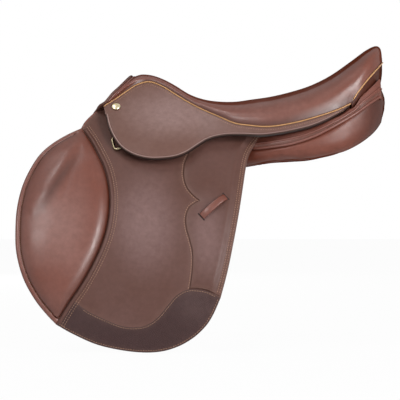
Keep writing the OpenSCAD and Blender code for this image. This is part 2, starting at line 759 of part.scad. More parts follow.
calf_seam = dropped([[-20, -5], [-26, -21], [-27, -41], [-21, -55], [-8, -66], [2, -76], [3, -86],
    [-5, -94], [-15, -106], [-19, -122], [-16, -141], [-12, -160], [-11, -180], [-13, -203], [-16, -222]]);
t_calf_b = side_t(drop(-219), flap_t + 2);
module calf_pad() {
    color("Brown")
        pad(flap_rear, calf_seam, t_bend, t_calf_b, t_bend - 0.06, t_calf_b + 0.02, calf_crown, 16, 7, 1.6);
}

module near_calf_pad() {
    near() calf_pad();
}

module off_calf_pad() {
    calf_pad();
}

keeper_x = 22;
keeper_z = drop(-92);
keeper_d = pad_in + 1.8 + calf_crown - 0.2;
module leather_keeper() {
    l = keeper_l / 2;
    hgt = 6.5;
    top = [for (i = [0 : 12]) let (a = -1 + i / 6) [a * (l - 7), 2.4 + hgt * pow(cos(90 * a), 0.6)]];
    low = [for (i = [0 : 12]) let (a = 1 - i / 6) [a * (l - 9), hgt * pow(cos(90 * a), 0.6)]];
    color("Brown")
        on_side(keeper_x, keeper_z)
            translate([0, 0, keeper_d])
                rotate([0, 0, -41])
                    translate([0, keeper_w / 2, 0])
                        rotate([90, 0, 0])
                            linear_extrude(keeper_w)
                                polygon(concat([[-l, 0], [-l, 2.4]], top, [[l, 2.4], [l, 0]], low));
}

module near_leather_keeper() {
    near() leather_keeper();
}

module off_leather_keeper() {
    leather_keeper();
}

sweat_outline = concat(curve(dropped([[-150, 18], [-196, 10], [-232, -30], [-246, -100], [-236, -170],
    [-206, -232],
    [-150, -264], [-60, -274], [-5, -258], [20, -215], [38, -140], [52, -60], [60, -10], [64, 18]]), 3));
module sweat_flap() {
    color("Sienna")
        sheet(sweat_outline, sweat_in, sweat_out);
}

module near_sweat_flap() {
    near() sweat_flap();
}

module off_sweat_flap() {
    sweat_flap();
}

// Girth billet, a strap with buckle holes and a tongue end
billet_end = drop(-222);
billet_swing = 4;
billet_ease = billet_w / 2 * sin(billet_swing);
module billet(i) {
    x = billet_x[i];
    w = billet_w / 2;
    color("DarkSalmon")
        difference() {
            sheet([[x - w * 0.45, billet_top_z], [x - w, billet_top_z - billet_ease],
                [x - w, billet_end + 14],
                [x - w * 0.72, billet_end + 4], [x, billet_end], [x + w * 0.72, billet_end + 4],
                [x + w, billet_end + 14], [x + w, billet_top_z - billet_ease], [x + w * 0.45, billet_top_z]],
                billet_in, billet_out);
            for (k = [0 : hole_count - 1])
                on_side(x, billet_end + 26 + k * hole_pitch)
                    translate([0, 0, billet_in - 3])
                        cylinder(r = hole_r, h = billet_t + 6);
        }
}

module near_billet_front() {
    near() billet(0);
}

module near_billet_mid() {
    near() billet(1);
}

module near_billet_rear() {
    near() billet(2);
}

module off_billet_front() {
    billet(0);
}

module off_billet_mid() {
    billet(1);
}

module off_billet_rear() {
    billet(2);
}

// Dee and the leather chape that holds its bar
module on_dee() {
    on_side(dee_x, dee_z)
        translate([0, 0, dee_d])
            rotate([0, 0, -dee_tilt])
                children();
}

module dee_chape() {
    w = dee_w - 9;
    color("Sienna")
        on_dee()
            difference() {
                union() {
                    translate([0, w / 2, 0])
                        rotate([90, 0, 0])
                            cylinder(r = chape_r, h = w);
                    translate([0, -w / 2, -chape_r])
                        cube([30, w, 2.4]);
                }
                translate([0, w, 0])
                    rotate([90, 0, 0])
                        cylinder(r = dee_r + 0.5, h = 2 * w);
            }
}

module near_dee_chape() {
    near() dee_chape();
}

module off_dee_chape() {
    dee_chape();
}

module dee_corner(x, y, a) {
    translate([x, y, 0])
        rotate([0, 0, a])
            rotate_extrude(angle = 90)
                translate([4.5, 0])
                    circle(r = dee_r);
}

module dee_rod(x, y, a, l) {
    translate([x, y, 0])
        rotate([0, 0, a])
            rotate([0, 90, 0])
                cylinder(r = dee_r, h = l);
}

module dee() {
    c = 4.5;
    w = dee_w / 2;
    color("Gainsboro")
        on_dee()
            rotate([0, -dee_lean, 0])
                union() {
                    dee_rod(0, -w + c, 90, dee_w - 2 * c);
                    dee_rod(-dee_l, -w + c, 90, dee_w - 2 * c);
                    dee_rod(-dee_l + c, -w, 0, dee_l - 2 * c);
                    dee_rod(-dee_l + c, w, 0, dee_l - 2 * c);
                    dee_corner(-c, w - c, 0);
                    dee_corner(-dee_l + c, w - c, 90);
                    dee_corner(-dee_l + c, -w + c, 180);
                    dee_corner(-c, -w + c, 270);
                }
}

module near_dee() {
    near() dee();
}

module off_dee() {
    dee();
}

tree();
head_plate();
tree_rivets();
seat_webbing();
girth_webbing();
seat_foam();
seat_cover();
seat_piping();
pommel_facing();
cantle_facing();
near_panel();
off_panel();
near_panel_gusset();
off_panel_gusset();
near_stirrup_bar();
off_stirrup_bar();
catch_pins();
near_skirt();
off_skirt();
near_flap_head();
off_flap_head();
near_knee_pad_tip();
off_knee_pad_tip();
near_sweat_flap();
off_sweat_flap();
near_dee_chape();
off_dee_chape();
skirt_nails();
near_skirt_flap();
off_skirt_flap();
near_flap();
off_flap();
near_flap_facing();
off_flap_facing();
near_toe_patch();
off_toe_patch();
near_knee_pad();
off_knee_pad();
near_calf_pad();
off_calf_pad();
near_leather_keeper();
off_leather_keeper();
near_bar_catch();
off_bar_catch();
near_billet_front();
near_billet_mid();
near_billet_rear();
off_billet_front();
off_billet_mid();
off_billet_rear();
near_dee();
off_dee();
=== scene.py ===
"""Looks of the jumping saddle: leather, padding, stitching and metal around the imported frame."""

import math

import bpy
import numpy as np
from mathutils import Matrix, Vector
from mathutils.geometry import delaunay_2d_cdt


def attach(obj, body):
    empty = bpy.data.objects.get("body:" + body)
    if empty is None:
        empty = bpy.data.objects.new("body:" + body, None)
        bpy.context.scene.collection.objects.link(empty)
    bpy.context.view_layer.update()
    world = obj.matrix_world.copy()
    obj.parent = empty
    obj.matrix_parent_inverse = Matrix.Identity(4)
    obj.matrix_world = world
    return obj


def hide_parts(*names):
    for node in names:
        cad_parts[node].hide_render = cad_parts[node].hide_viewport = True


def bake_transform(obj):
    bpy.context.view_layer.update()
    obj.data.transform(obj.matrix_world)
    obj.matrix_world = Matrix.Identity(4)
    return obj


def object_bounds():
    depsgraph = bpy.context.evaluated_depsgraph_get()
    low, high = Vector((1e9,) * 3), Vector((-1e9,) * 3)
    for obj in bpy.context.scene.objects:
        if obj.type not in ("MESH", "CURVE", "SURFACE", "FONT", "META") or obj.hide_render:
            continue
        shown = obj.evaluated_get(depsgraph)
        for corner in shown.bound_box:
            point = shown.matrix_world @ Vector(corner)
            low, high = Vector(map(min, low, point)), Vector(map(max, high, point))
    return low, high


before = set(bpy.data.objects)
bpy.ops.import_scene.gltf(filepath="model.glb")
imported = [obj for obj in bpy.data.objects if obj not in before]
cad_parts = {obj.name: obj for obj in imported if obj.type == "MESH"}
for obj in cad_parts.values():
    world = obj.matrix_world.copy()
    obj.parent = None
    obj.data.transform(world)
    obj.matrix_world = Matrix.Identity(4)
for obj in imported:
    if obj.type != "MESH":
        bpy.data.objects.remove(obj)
cad_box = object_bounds()
MM = 0.001
SIDES = (("off", 1.0), ("near", -1.0))
scene = bpy.context.scene

# ---- curves


def real(x):
    return np.asarray(x, float)


def through(p, u):
    """Curve through points, at station u counted in points."""
    p, u = real(p), real(u)
    n = len(p) - 1
    i = np.clip(np.floor(u).astype(int), 0, n - 1)
    t = (u - i)[..., None]
    b, c = p[i], p[i + 1]
    a = np.where((i > 0)[..., None], p[np.maximum(i - 1, 0)], 2 * p[0] - p[1])
    d = np.where((i + 2 <= n)[..., None], p[np.minimum(i + 2, n)], 2 * p[n] - p[n - 1])
    return 0.5 * (2 * b + (c - a) * t + (2 * a - 5 * b + 4 * c - d) * t**2
                  + (3 * b - a - 3 * c + d) * t**3)


def curve(p, n=6):
    return through(p, np.arange((len(p) - 1) * n + 1) / n)


def value(p, x):
    q = curve(p, 5)
    return np.interp(x, q[:, 0], q[:, 1])


def smooth(a, b, x):
    t = np.clip((real(x) - a) / (b - a), 0, 1)
    return t * t * (3 - 2 * t)


def lerp(a, b, t):
    return a + (b - a) * t


def unit(v):
    return v / np.maximum(np.linalg.norm(v, axis=-1, keepdims=True), 1e-12)


def quarter(t):
    """Quarter of an ellipse, from 0 to 1."""
    return np.sqrt(1 - (1 - np.clip(t, 0, 1)) ** 2)


def run(p):
    """Length along a line, at each of its points."""
    return np.hstack([0, np.cumsum(np.linalg.norm(np.diff(p, axis=0), axis=1))])


def sample(at, cum, p):
    """Points of a line at the given lengths along it."""
    return np.stack([np.interp(at, cum, p[:, k]) for k in range(p.shape[1])], 1)


def angles(n):
    return np.linspace(0, 2 * math.pi, n, endpoint=False)


# ---- side of the saddle

SIDE = np.array([[28, 100], [88, 15], [192, -80], [191, -320]], float)
T_RANGE = (-0.3, 1.05)
FLARE, FLARE_RUN = 32, 150


def side_b(t):
    """The flap's lining from the front: a cubic in y and z."""
    t = real(t)[..., None]
    a, b, c, d = SIDE
    return (1 - t) ** 3 * a + 3 * (1 - t) ** 2 * t * b + 3 * (1 - t) * t**2 * c + t**3 * d


def side_n(t):
    t = real(t)[..., None]
    a, b, c = np.diff(SIDE, axis=0)
    q = 3 * (1 - t) ** 2 * a + 6 * (1 - t) * t * b + 3 * t**2 * c
    return unit(np.stack([-q[..., 1], q[..., 0]], -1))


def side_p(t, d):
    return side_b(t) + real(d)[..., None] * side_n(t)


def side_t(z, d):
    """Where the surface d out from the lining is at height z."""
    z, d = np.broadcast_arrays(real(z), real(d))
    lo, hi = (np.full(z.shape, t) for t in T_RANGE)
    for _ in range(36):
        m = (lo + hi) / 2
        above = side_p(m, d)[..., 1] > z
        lo, hi = np.where(above, m, lo), np.where(above, hi, m)
    return lo


def side_at(z, d):
    return side_p(side_t(z, d), d)


T_TAB = np.linspace(*T_RANGE, 4000)
S_TAB = run(side_b(T_TAB))
S_TAB -= np.interp(0, T_TAB, S_TAB)


def flat(points, d):
    """Side view points to the leather's own plane: along the saddle, and down the leather."""
    p = real(points)
    return np.stack([p[:, 0], np.interp(side_t(p[:, 1], d), T_TAB, S_TAB)], 1)


def flare(x):
    """How much wider the seat and the skirt are towards the rear."""
    return FLARE * (1 - np.exp(-np.maximum(x, 0) / FLARE_RUN))


def place(xs, d, flared=False):
    """Points of the leather's own plane, d out from the flap's lining (off side, mm)."""
    xs = real(xs)
    q = side_p(np.interp(xs[..., 1], S_TAB, T_TAB), np.broadcast_to(d, xs.shape[:-1]))
    y = q[..., 0] + (flare(xs[..., 0]) if flared else 0)
    return np.stack([xs[..., 0], y, q[..., 1]], -1)


# ---- flat outlines


def resample(p, step, closed=True):
    p = real(p)
    if closed:
        p = np.vstack([p, p[:1]])
    p = p[np.diff(run(p), prepend=-1) > 1e-6]
    cum = run(p)
    at = np.linspace(0, cum[-1], max(3, int(round(cum[-1] / step))) + 1)
    return sample(at[:-1] if closed else at, cum, p)


def normals2(p, closed=False):
    """Left hand normals of a line."""
    t = unit(np.roll(p, -1, 0) - np.roll(p, 1, 0) if closed else np.gradient(p, axis=0))
    return np.stack([-t[:, 1], t[:, 0]], 1)


def offset(p, w, step=3.0):
    """A line moved to its right hand side by w."""
    q = resample(p, step, False)
    return q - w * normals2(q)


def distance(q, line, closed=False):
    a = real(line)
    b = np.roll(a, -1, 0) if closed else a[1:]
    a = a if closed else a[:-1]
    ab = b - a
    ll = np.maximum((ab**2).sum(1), 1e-12)
    out = np.full(len(q), 1e9)
    for k in range(0, len(q), 2000):
        v = q[k:k + 2000, None, :] - a[None]
        t = np.clip((v * ab).sum(-1) / ll, 0, 1)
        out[k:k + 2000] = np.sqrt(((v - t[..., None] * ab) ** 2).sum(-1)).min(1)
    return out


def inside(q, poly):
    a, b = poly, np.roll(poly, -1, 0)
    hit = np.zeros(len(q), bool)
    for (x1, y1), (x2, y2) in zip(a, b):
        if y1 == y2:
            continue
        cut = (y1 > q[:, 1]) != (y2 > q[:, 1])
        hit ^= cut & (q[:, 0] < (x2 - x1) * (q[:, 1] - y1) / (y2 - y1) + x1)
    return hit


def within(q, loops):
    """Inside the first loop and outside the others."""
    ok = inside(q, loops[0])
    for o in loops[1:]:
        ok &= ~inside(q, o)
    return ok


def clearance(q, loops):
    return np.min([distance(q, o, True) for o in loops], axis=0)


def turned(p, sense):
    """A loop turned anticlockwise, or clockwise if sense is -1."""
    q = np.roll(p, -1, 0)
    area = 0.5 * (p[:, 0] * q[:, 1] - q[:, 0] * p[:, 1]).sum()
    return p if area * sense > 0 else p[::-1]


def triangles(loops, rings, step):
    """Triangles within loops: points, faces and where each loop's points went."""
    pts, edges = [], []
    for lp in loops:
        k = len(pts)
        pts += [tuple(v) for v in lp]
        edges += [(k + i, k + (i + 1) % len(lp)) for i in range(len(lp))]
    n_loop = len(pts)
    for r in rings:
        for lp in loops:
            q = lp + r * normals2(lp, True)
            pts += [tuple(v) for v in q[clearance(q, loops) > 0.9 * r]]
    lo, hi = loops[0].min(0), loops[0].max(0)
    rows = np.arange(lo[1], hi[1] + step, step * 0.866)
    grid = np.array([[x + (step / 2 if i % 2 else 0), y] for i, y in enumerate(rows)
                     for x in np.arange(lo[0], hi[0] + step, step)])
    room = (rings[-1] if rings else 0) + 0.55 * step
    pts += [tuple(v) for v in grid[within(grid, loops) & (clearance(grid, loops) > room)]]
    v, _, f, orig, _, _ = delaunay_2d_cdt([Vector(p) for p in pts], edges, [], 0, 1e-6)
    v, f = np.array([tuple(p) for p in v], float), np.array(f, int)
    f = f[within(v[f].mean(1), loops)]
    where = {k: i for i, o in enumerate(orig) for k in o}
    return v, f, np.array([where[k] for k in range(n_loop)])


# ---- meshes

SHARP = math.radians(38)
EDGE_STEP, UNDER_STEP = 3.0, 16.0
WEAR_REACH = 2.2
STRIP_END = 6.0
STUFF_FRAMES = 20
STUFF_SMALL = 0.8
THREAD_LIFT = 0.05
STITCH_SIDES = 6
# a stitch: how far along it, how thick and how high it is there
STITCH = ((0.0, 0.35, -0.25), (0.16, 0.95, 0.06), (0.5, 1.0, 0.16), (0.84, 0.95, 0.06),
          (1.0, 0.35, -0.25))


class Shape:
    """Points in mm on the off side with a value each of wear and painted light, faces with a
    material number each.
    """

    def __init__(self):
        self.v, self.f, self.m, self.w = [], [], [], []

    def add(self, v, f, mat=0, wear_and_painted_light=0.0):
        k = len(self.v)
        self.v += [tuple(p) for p in v]
        self.w += list(np.broadcast_to(wear_and_painted_light, len(v)))
        self.f += [tuple(int(k + i) for i in q) for q in f]
        self.m += [mat] * len(f)
        return k

    def join(self, other):
        k = len(self.v)
        self.v += other.v
        self.w += other.w
        self.f += [tuple(k + i for i in q) for q in other.f]
        self.m += other.m
        return self


def piece(name, shape, mats, side=1.0):
    """A Blender object from a shape, mirrored for the near side."""
    v = np.array(shape.v, float) * MM
    v[:, 1] *= side
    mesh = bpy.data.meshes.new(name)
    mesh.from_pydata([tuple(p) for p in v], [], shape.f if side > 0 else [q[::-1] for q in shape.f])
    for m in mats:
        mesh.materials.append(m)
    mesh.polygons.foreach_set("material_index", np.array(shape.m, np.int32))
    wear_and_painted_light = mesh.attributes.new("wear_and_painted_light", "FLOAT", "POINT")
    wear_and_painted_light.data.foreach_set("value", np.array(shape.w, np.float32))
    mesh.validate()
    mesh.shade_smooth()
    mesh.set_sharp_from_angle(angle=SHARP)
    return linked(name, mesh)


def linked(name, data):
    o = bpy.data.objects.new(name, data)
    scene.collection.objects.link(o)
    return o


def leather(outline, top, low, step, rings, holes=(), flared=False, wear_and_painted_light=None):
    """A cut of leather on the saddle's side. top(points, edge distance) gives the face's height.
    Its materials are those of the face, the cut edge and the flesh side."""
    loops = [turned(resample(outline, EDGE_STEP), 1)] + [turned(h, -1) for h in holes]
    v, f, where = triangles(loops, rings, step)
    e = clearance(v, loops)
    sh = Shape()
    k = sh.add(place(v, top(v, e), flared), f, 0, wear_and_painted_light(v) if wear_and_painted_light else np.exp(-e / WEAR_REACH))
    v2, f2, where2 = triangles(loops, (), UNDER_STEP)
    k2 = sh.add(place(v2, low, flared), f2[:, ::-1], 2)
    start = 0
    for n in map(len, loops):
        for i in range(n):
            ends = [start + i, start + (i + 1) % n]
            (a, b), (c, d) = k + where[ends], k2 + where2[ends]
            sh.f.append((int(a), int(c), int(d), int(b)))
            sh.m.append(1)
        start += n
    return sh


def rim(t, low, r):
    """Height of a sheet of thickness t with a rounded rim."""
    return lambda v, e: low + t - r + r * quarter(e / r)


def grid_solid(a, b, wear_and_painted_light=None):
    """Closed solid between two grids of points of the same size."""
    a, b = real(a), real(b)
    r, c = a.shape[:2]
    n = r * c
    idx = np.arange(n).reshape(r, c)
    f = [(idx[i, j], idx[i, j + 1], idx[i + 1, j + 1], idx[i + 1, j])
         for i in range(r - 1) for j in range(c - 1)]
    f += [tuple(n + k for k in q[::-1]) for q in f]
    loop = [*idx[0, :-1], *idx[:-1, -1], *idx[-1, :0:-1], *idx[:0:-1, 0]]
    f += [(p, n + p, n + q, q) for p, q in zip(loop, loop[1:] + loop[:1])]
    w = 0.0 if wear_and_painted_light is None else np.hstack([np.ravel(wear_and_painted_light), np.zeros(n)])
    return solid(np.vstack([a.reshape(-1, 3), b.reshape(-1, 3)]), f, w)


def ring_faces(n, c):
    """Faces of a closed tube of n rings of c points."""
    idx = np.arange(n * c).reshape(n, c)
    f = [(idx[i, j], idx[i, (j + 1) % c], idx[i + 1, (j + 1) % c], idx[i + 1, j])
         for i in range(n - 1) for j in range(c)]
    return f + [tuple(idx[0, ::-1]), tuple(idx[-1])]


def loft(rings):
    """Closed solid through rings of points."""
    r = real(rings)
    return solid(r.reshape(-1, 3), ring_faces(*r.shape[:2]))


def stuffed(sh, cap, pressure):
    """Cloth simulation of a cover over its stuffing: it starts a little small and swells.
    A point moves at most cap mm from its drawn place, and one with no cap is held."""
    drawn = np.array(sh.v)
    mesh = bpy.data.meshes.new("stuffing")
    mesh.from_pydata([tuple(q) for q in drawn * MM], [], sh.f)
    nrm = np.empty(drawn.size, np.float32)
    mesh.vertex_normals.foreach_get("vector", nrm)
    start = drawn - STUFF_SMALL * smooth(0, 2, cap)[:, None] * nrm.reshape(-1, 3)
    mesh.vertices.foreach_set("co", (start * MM).astype(np.float32).ravel())
    o = linked("stuffing", mesh)
    held = [int(i) for i in np.flatnonzero(cap < 0.05)]
    o.vertex_groups.new(name="held").add(held, 1.0, "REPLACE")
    cloth = o.modifiers.new("cover", "CLOTH")
    st = cloth.settings
    st.quality, st.mass, st.air_damping = 6, 0.3, 2.0
    st.tension_stiffness = st.compression_stiffness = 15
    st.shear_stiffness, st.bending_stiffness = 8, 1.0
    st.use_pressure, st.uniform_pressure_force = True, pressure
    st.effector_weights.gravity = 0.0
    st.vertex_group_mass = "held"
    cloth.collision_settings.use_collision = False
    cloth.point_cache.frame_start, cloth.point_cache.frame_end = 1, STUFF_FRAMES
    for i in range(1, STUFF_FRAMES + 1):
        scene.frame_set(i)
    swelled = np.empty(drawn.size, np.float32)
    done = o.evaluated_get(bpy.context.evaluated_depsgraph_get()).to_mesh()
    done.vertices.foreach_get("co", swelled)
    scene.frame_set(1)
    bpy.data.objects.remove(o)
    move = swelled.reshape(-1, 3) / MM - drawn
    far = np.maximum(np.linalg.norm(move, axis=1), 1e-6)
    sh.v = [tuple(q) for q in drawn + move * np.minimum(1.0, cap / far)[:, None]]
    return sh


def solid(points, faces, wear_and_painted_light=0.0):
    """A closed shape, its faces turned outwards by the sign of the volume."""
    sh = Shape()
    sh.add(points, faces, 0, wear_and_painted_light)
    v = np.array(sh.v)
    vol = 0.0
    for q in sh.f:
        for k in range(1, len(q) - 1):
            vol += np.dot(v[q[0]], np.cross(v[q[k]], v[q[k + 1]]))
    if vol < 0:
        sh.f = [q[::-1] for q in sh.f]
    return sh


def tube(path, r, up, n=10, taper=2):
    """Cord along a path, thinner at its ends."""
    t = unit(np.gradient(path, axis=0))
    s = unit(np.cross(np.broadcast_to(real(up), path.shape), t))
    w = np.cross(t, s)
    a = angles(n)[None, :, None]
    rr = np.full(len(path), float(r))
    for k in range(taper):
        rr[[k, -1 - k]] *= (k + 0.6) / (taper + 0.6)
    around = np.cos(a) * s[:, None] + np.sin(a) * w[:, None]
    return loft(path[:, None] + rr[:, None, None] * around)


def strip(line, left, right, n, base, high, power, low):
    """A rounded band along a line of the leather's plane, between two offsets to its right."""
    nrm, cum = normals2(line), run(line)
    fade = quarter(np.minimum(cum, cum[-1] - cum) / STRIP_END)
    top, bottom = [], []
    for o, k in zip(np.linspace(left, right, n), np.sin(np.pi * np.linspace(0, 1, n)) ** power):
        q = line - o * nrm
        top.append(place(q, base + high * k * fade))
        bottom.append(place(q, low))
    return grid_solid(np.stack(top, 1), np.stack(bottom, 1))


def threads(p, q, n, r, high=0.34):
    """One stitch from each p to each q, with n the leather's normal there."""
    s = unit(np.cross(n, unit(q - p)))
    faces = ring_faces(len(STITCH), STITCH_SIDES)
    a = angles(STITCH_SIDES)[None, :, None]
    rings = np.stack([lerp(p, q, u)[:, None] + lift * n[:, None]
                      + k * (r * np.cos(a) * s[:, None] + high * np.sin(a) * n[:, None])
                      for u, k, lift in STITCH], 1)
    sh = Shape()
    for ring in rings:
        sh.add(ring.reshape(-1, 3), faces)
    return sh


def stitch_row(line, height, pitch=4.0, length=2.9, flared=False, r=0.45):
    """Stitches along a line of the leather's plane; height(points) gives the face they lie on."""
    cum = run(line)
    n = int(cum[-1] / pitch)
    at = (np.arange(n) + 0.5) * (cum[-1] / n)
    a, mid, b = (sample(at + k * length / 2, cum, line) for k in (-1, 0, 1))
    up = side_n(np.interp(mid[:, 1], S_TAB, T_TAB))
    up = np.stack([np.zeros(n), up[:, 0], up[:, 1]], 1)
    a, b = (place(q, height(q) + THREAD_LIFT, flared) for q in (a, b))
    return threads(a, b, up, r)


# ---- materials


def feed(nt, sock, v):
    """A value, or the output of another node, into a socket."""
    if isinstance(v, bpy.types.NodeSocket):
        nt.links.new(v, sock)
    else:
        sock.default_value = v


def node(nt, kind, *values, **named):
    """A shader node with values, or the outputs of others, in its inputs."""
    n = nt.nodes.new("ShaderNode" + kind)
    for k, v in [*enumerate(values), *named.items()]:
        feed(nt, n.inputs[k.replace("_", " ") if isinstance(k, str) else k], v)
    return n


def noise(nt, vec, scale, detail=3.0, rough=0.55):
    n = node(nt, "TexNoise", Vector=vec, Scale=scale, Detail=detail, Roughness=rough)
    return n.outputs["Fac"]


def ramp(nt, fac, lo, hi, a=0.0, b=1.0, kind="LINEAR"):
    n = node(nt, "MapRange", Value=fac, From_Min=lo, From_Max=hi, To_Min=a, To_Max=b)
    n.interpolation_type = kind
    return n.outputs["Result"]


def mix(nt, fac, a, b):
    """Two colours, each as on screen or from another node."""
    n = node(nt, "Mix")
    n.data_type = "RGBA"
    for i, v in ((0, fac), (6, a), (7, b)):
        feed(nt, n.inputs[i], rgb(*v) if isinstance(v, tuple) else v)
    return n.outputs[2]


def calc(nt, op, a, b):
    n = node(nt, "Math", a, b)
    n.operation = op
    return n.outputs[0]


def rgb(*c):
    """A colour given as on screen, 0 to 255, in linear light."""
    c = np.array(c) / 255
    return (*np.where(c <= 0.04045, c / 12.92, ((c + 0.055) / 1.055) ** 2.4), 1.0)


def material(name):
    m = bpy.data.materials.new(name)
    m.use_nodes = True
    nt = m.node_tree
    co = node(nt, "TexCoord").outputs["Object"]
    return m, nt, nt.nodes["Principled BSDF"], co


def coat(m, nt, bsdf, colour, rough, height, strength, depth):
    """Colour, roughness and bump of a material."""
    b = node(nt, "Bump", Strength=strength, Distance=depth, Height=height)
    for name, v in (("Base Color", colour), ("Roughness", rough), ("Normal", b.outputs["Normal"])):
        feed(nt, bsdf.inputs[name], v)
    return m


def painted_sheen_pool(nt, co, cx, cz, rx, rz, amount):
    """Soft oval of painted sheen, a painted highlight, on the leather, centre and radii in mm in
    the side view.
    """
    m = node(nt, "Mapping", Vector=co, Location=(-cx / rx, 0, -cz / rz),
             Scale=(1000 / rx, 0, 1000 / rz))
    d = node(nt, "VectorMath", m.outputs["Vector"])
    d.operation = "LENGTH"
    return ramp(nt, d.outputs["Value"], 0.1, 1.0, amount, 0.0, "SMOOTHSTEP")


def hide(name, base, deep, mottle_and_sheen_colour, edge, rough, grain, bump, spec, pebble=0.0, patch_scale=9.0,
         clouds=0.6, sheen_pools=(), painted_bevel_highlight=None):
    """Leather: cloudy colour, partly random mottle and partly painted sheen, ovals of painted
    highlight, and pores and fine creases in the bump. Where a piece's value is above zero it is of
    the colour of its edge, rubbed edge wear on some pieces and painted shade on others, and where
    it is below zero, of its bevel, a painted highlight."""
    m, nt, bsdf, co = material(name)
    mottle_and_sheen = ramp(nt, noise(nt, co, patch_scale, 4.0), 0.36, 0.68, 0.0, clouds)
    # each oval adds painted sheen, a painted highlight, towards the pale sheen colour
    for q in sheen_pools:
        mottle_and_sheen = calc(nt, "ADD", mottle_and_sheen, painted_sheen_pool(nt, co, *q))
    col = mix(nt, calc(nt, "MINIMUM", mottle_and_sheen, 1.0), base, mottle_and_sheen_colour)
    col = mix(nt, ramp(nt, noise(nt, co, 120.0, 4.0, 0.6), 0.3, 0.75, 0.0, 0.35), col, deep)
    wear_and_painted_light = node(nt, "Attribute")
    wear_and_painted_light.attribute_name = "wear_and_painted_light"
    # above zero: the edge colour, rubbed edge wear on some pieces and painted shade on others;
    # below zero: the bevel colour, a painted highlight
    for colour, share in ((edge, 0.75), (painted_bevel_highlight, -0.7)):
        if colour:
            col = mix(nt, calc(nt, "MULTIPLY", wear_and_painted_light.outputs["Fac"], share), col, colour)
    cells = node(nt, "TexVoronoi", Vector=co, Scale=grain)
    cells.feature = "DISTANCE_TO_EDGE"
    pores = ramp(nt, cells.outputs["Distance"], 0.0, 0.22, 0.0, 0.6 + pebble)
    creases = calc(nt, "MULTIPLY", noise(nt, co, grain * 0.45, 5.0, 0.65), 0.8)
    gloss = ramp(nt, noise(nt, co, 45.0), 0.3, 0.7, rough - 0.05, rough + 0.07)
    edge_on = node(nt, "LayerWeight").outputs["Facing"]
    feed(nt, bsdf.inputs["Specular IOR Level"], ramp(nt, edge_on, 0.15, 0.76, spec, 0.0))
    return coat(m, nt, bsdf, col, gloss, calc(nt, "ADD", pores, creases), bump, 0.0006)


def plain(name, base, other, rough, scale=160.0, bump=0.1):
    m, nt, bsdf, co = material(name)
    fac = ramp(nt, noise(nt, co, scale, 5.0, 0.65), 0.32, 0.7)
    gloss = ramp(nt, fac, 0, 1, rough - 0.06, rough + 0.06)
    pores = noise(nt, co, scale * 4, 4.0)
    return coat(m, nt, bsdf, mix(nt, fac, base, other), gloss, pores, bump, 0.0005)


def metal(name, base, other, rough):
    m, nt, bsdf, co = material(name)
    fac = ramp(nt, noise(nt, co, 220.0, 4.0), 0.35, 0.7)
    gloss = ramp(nt, noise(nt, co, 550.0), 0.3, 0.7, rough * 0.75, rough * 1.35)
    bsdf.inputs["Metallic"].default_value = 1.0
    return coat(m, nt, bsdf, mix(nt, fac, base, other), gloss, noise(nt, co, 1100.0), 0.06, 0.0003)


def wood(name, base, other):
    m, nt, bsdf, co = material(name)
    fibre = node(nt, "Mapping", Vector=co, Scale=(14.0, 160.0, 240.0)).outputs["Vector"]
    fac = ramp(nt, noise(nt, fibre, 1.0, 6.0, 0.6), 0.3, 0.72)
    gloss = ramp(nt, fac, 0, 1, 0.5, 0.66)
    return coat(m, nt, bsdf, mix(nt, fac, base, other), gloss, fac, 0.15, 0.0006)


WEAVE = 0.0022


def woven(name, base, other):
    """Webbing: over and under of a plain weave."""
    m, nt, bsdf, co = material(name)
    a, b = (node(nt, "TexWave", Vector=co, Scale=0.32 / WEAVE, Distortion=0.6, Detail=2.0)
            for _ in range(2))
    b.bands_direction = "Y"
    fac = calc(nt, "MULTIPLY", a.outputs["Fac"], b.outputs["Fac"])
    soiled = ramp(nt, noise(nt, co, 30.0), 0.4, 0.75, 0, 0.3)
    col = mix(nt, soiled, mix(nt, fac, other, base), other)
    return coat(m, nt, bsdf, col, 0.9, fac, 0.5, 0.0008)


RED, DEEP_RED = (114, 57, 40), (86, 40, 26)
# calf leather: its edge colour is painted shade on the knee pad and at the seat's edges, and its
# ovals and pale colour are painted sheen on the knee pad and the seat
CALF = hide(
    "calf_leather", RED, DEEP_RED, (148, 107, 99), (66, 31, 20), rough=0.33, grain=1300,
    bump=0.03, spec=0.58, clouds=0.4,
    sheen_pools=((-212, -112, 64, 105, 0.5), (-40, 112, 260, 60, 0.15)))
# panel leather: its edge colour is painted shade at the cushion's rear end and front
PANEL = hide(
    "panel_leather", RED, DEEP_RED, (148, 100, 90), (58, 26, 17), rough=0.36, grain=1300,
    bump=0.03, spec=0.4, clouds=0.3)
# darker copy of the calf leather: painted shade on the recessed cantle facing
CANTLE_PAINTED_SHADE = hide(
    "cantle_leather_painted_shade", (82, 43, 31), (58, 28, 20), (96, 56, 44), (60, 32, 24), rough=0.42,
    grain=1300, bump=0.06, spec=0.2, clouds=0.3)
# grained leather: its ovals and pale purplish colour are painted sheen on the flap's middle and on
# the calf panel
GRAIN = hide(
    "grained_leather", (94, 62, 53), (76, 49, 43), (140, 111, 108), (122, 92, 82), rough=0.42,
    grain=800, bump=0.16, spec=0.25, patch_scale=7.0, clouds=0.2,
    sheen_pools=((-88, -118, 76, 108, 0.75), (12, -140, 40, 90, 0.55)))
# skirt leather: its ovals and pale colour are painted sheen, its near-black edge colour a painted
# shadow line along the lower edge, and its bevel colour a painted highlight
SKIRT = hide(
    "skirt_leather", (113, 81, 71), (93, 63, 55), (152, 124, 119), (30, 17, 13), rough=0.42,
    grain=800, bump=0.16, spec=0.25, patch_scale=7.0, clouds=0.2,
    sheen_pools=((-45, 66, 115, 62, 0.9), (40, 42, 80, 34, 0.2)), painted_bevel_highlight=(196, 170, 164))
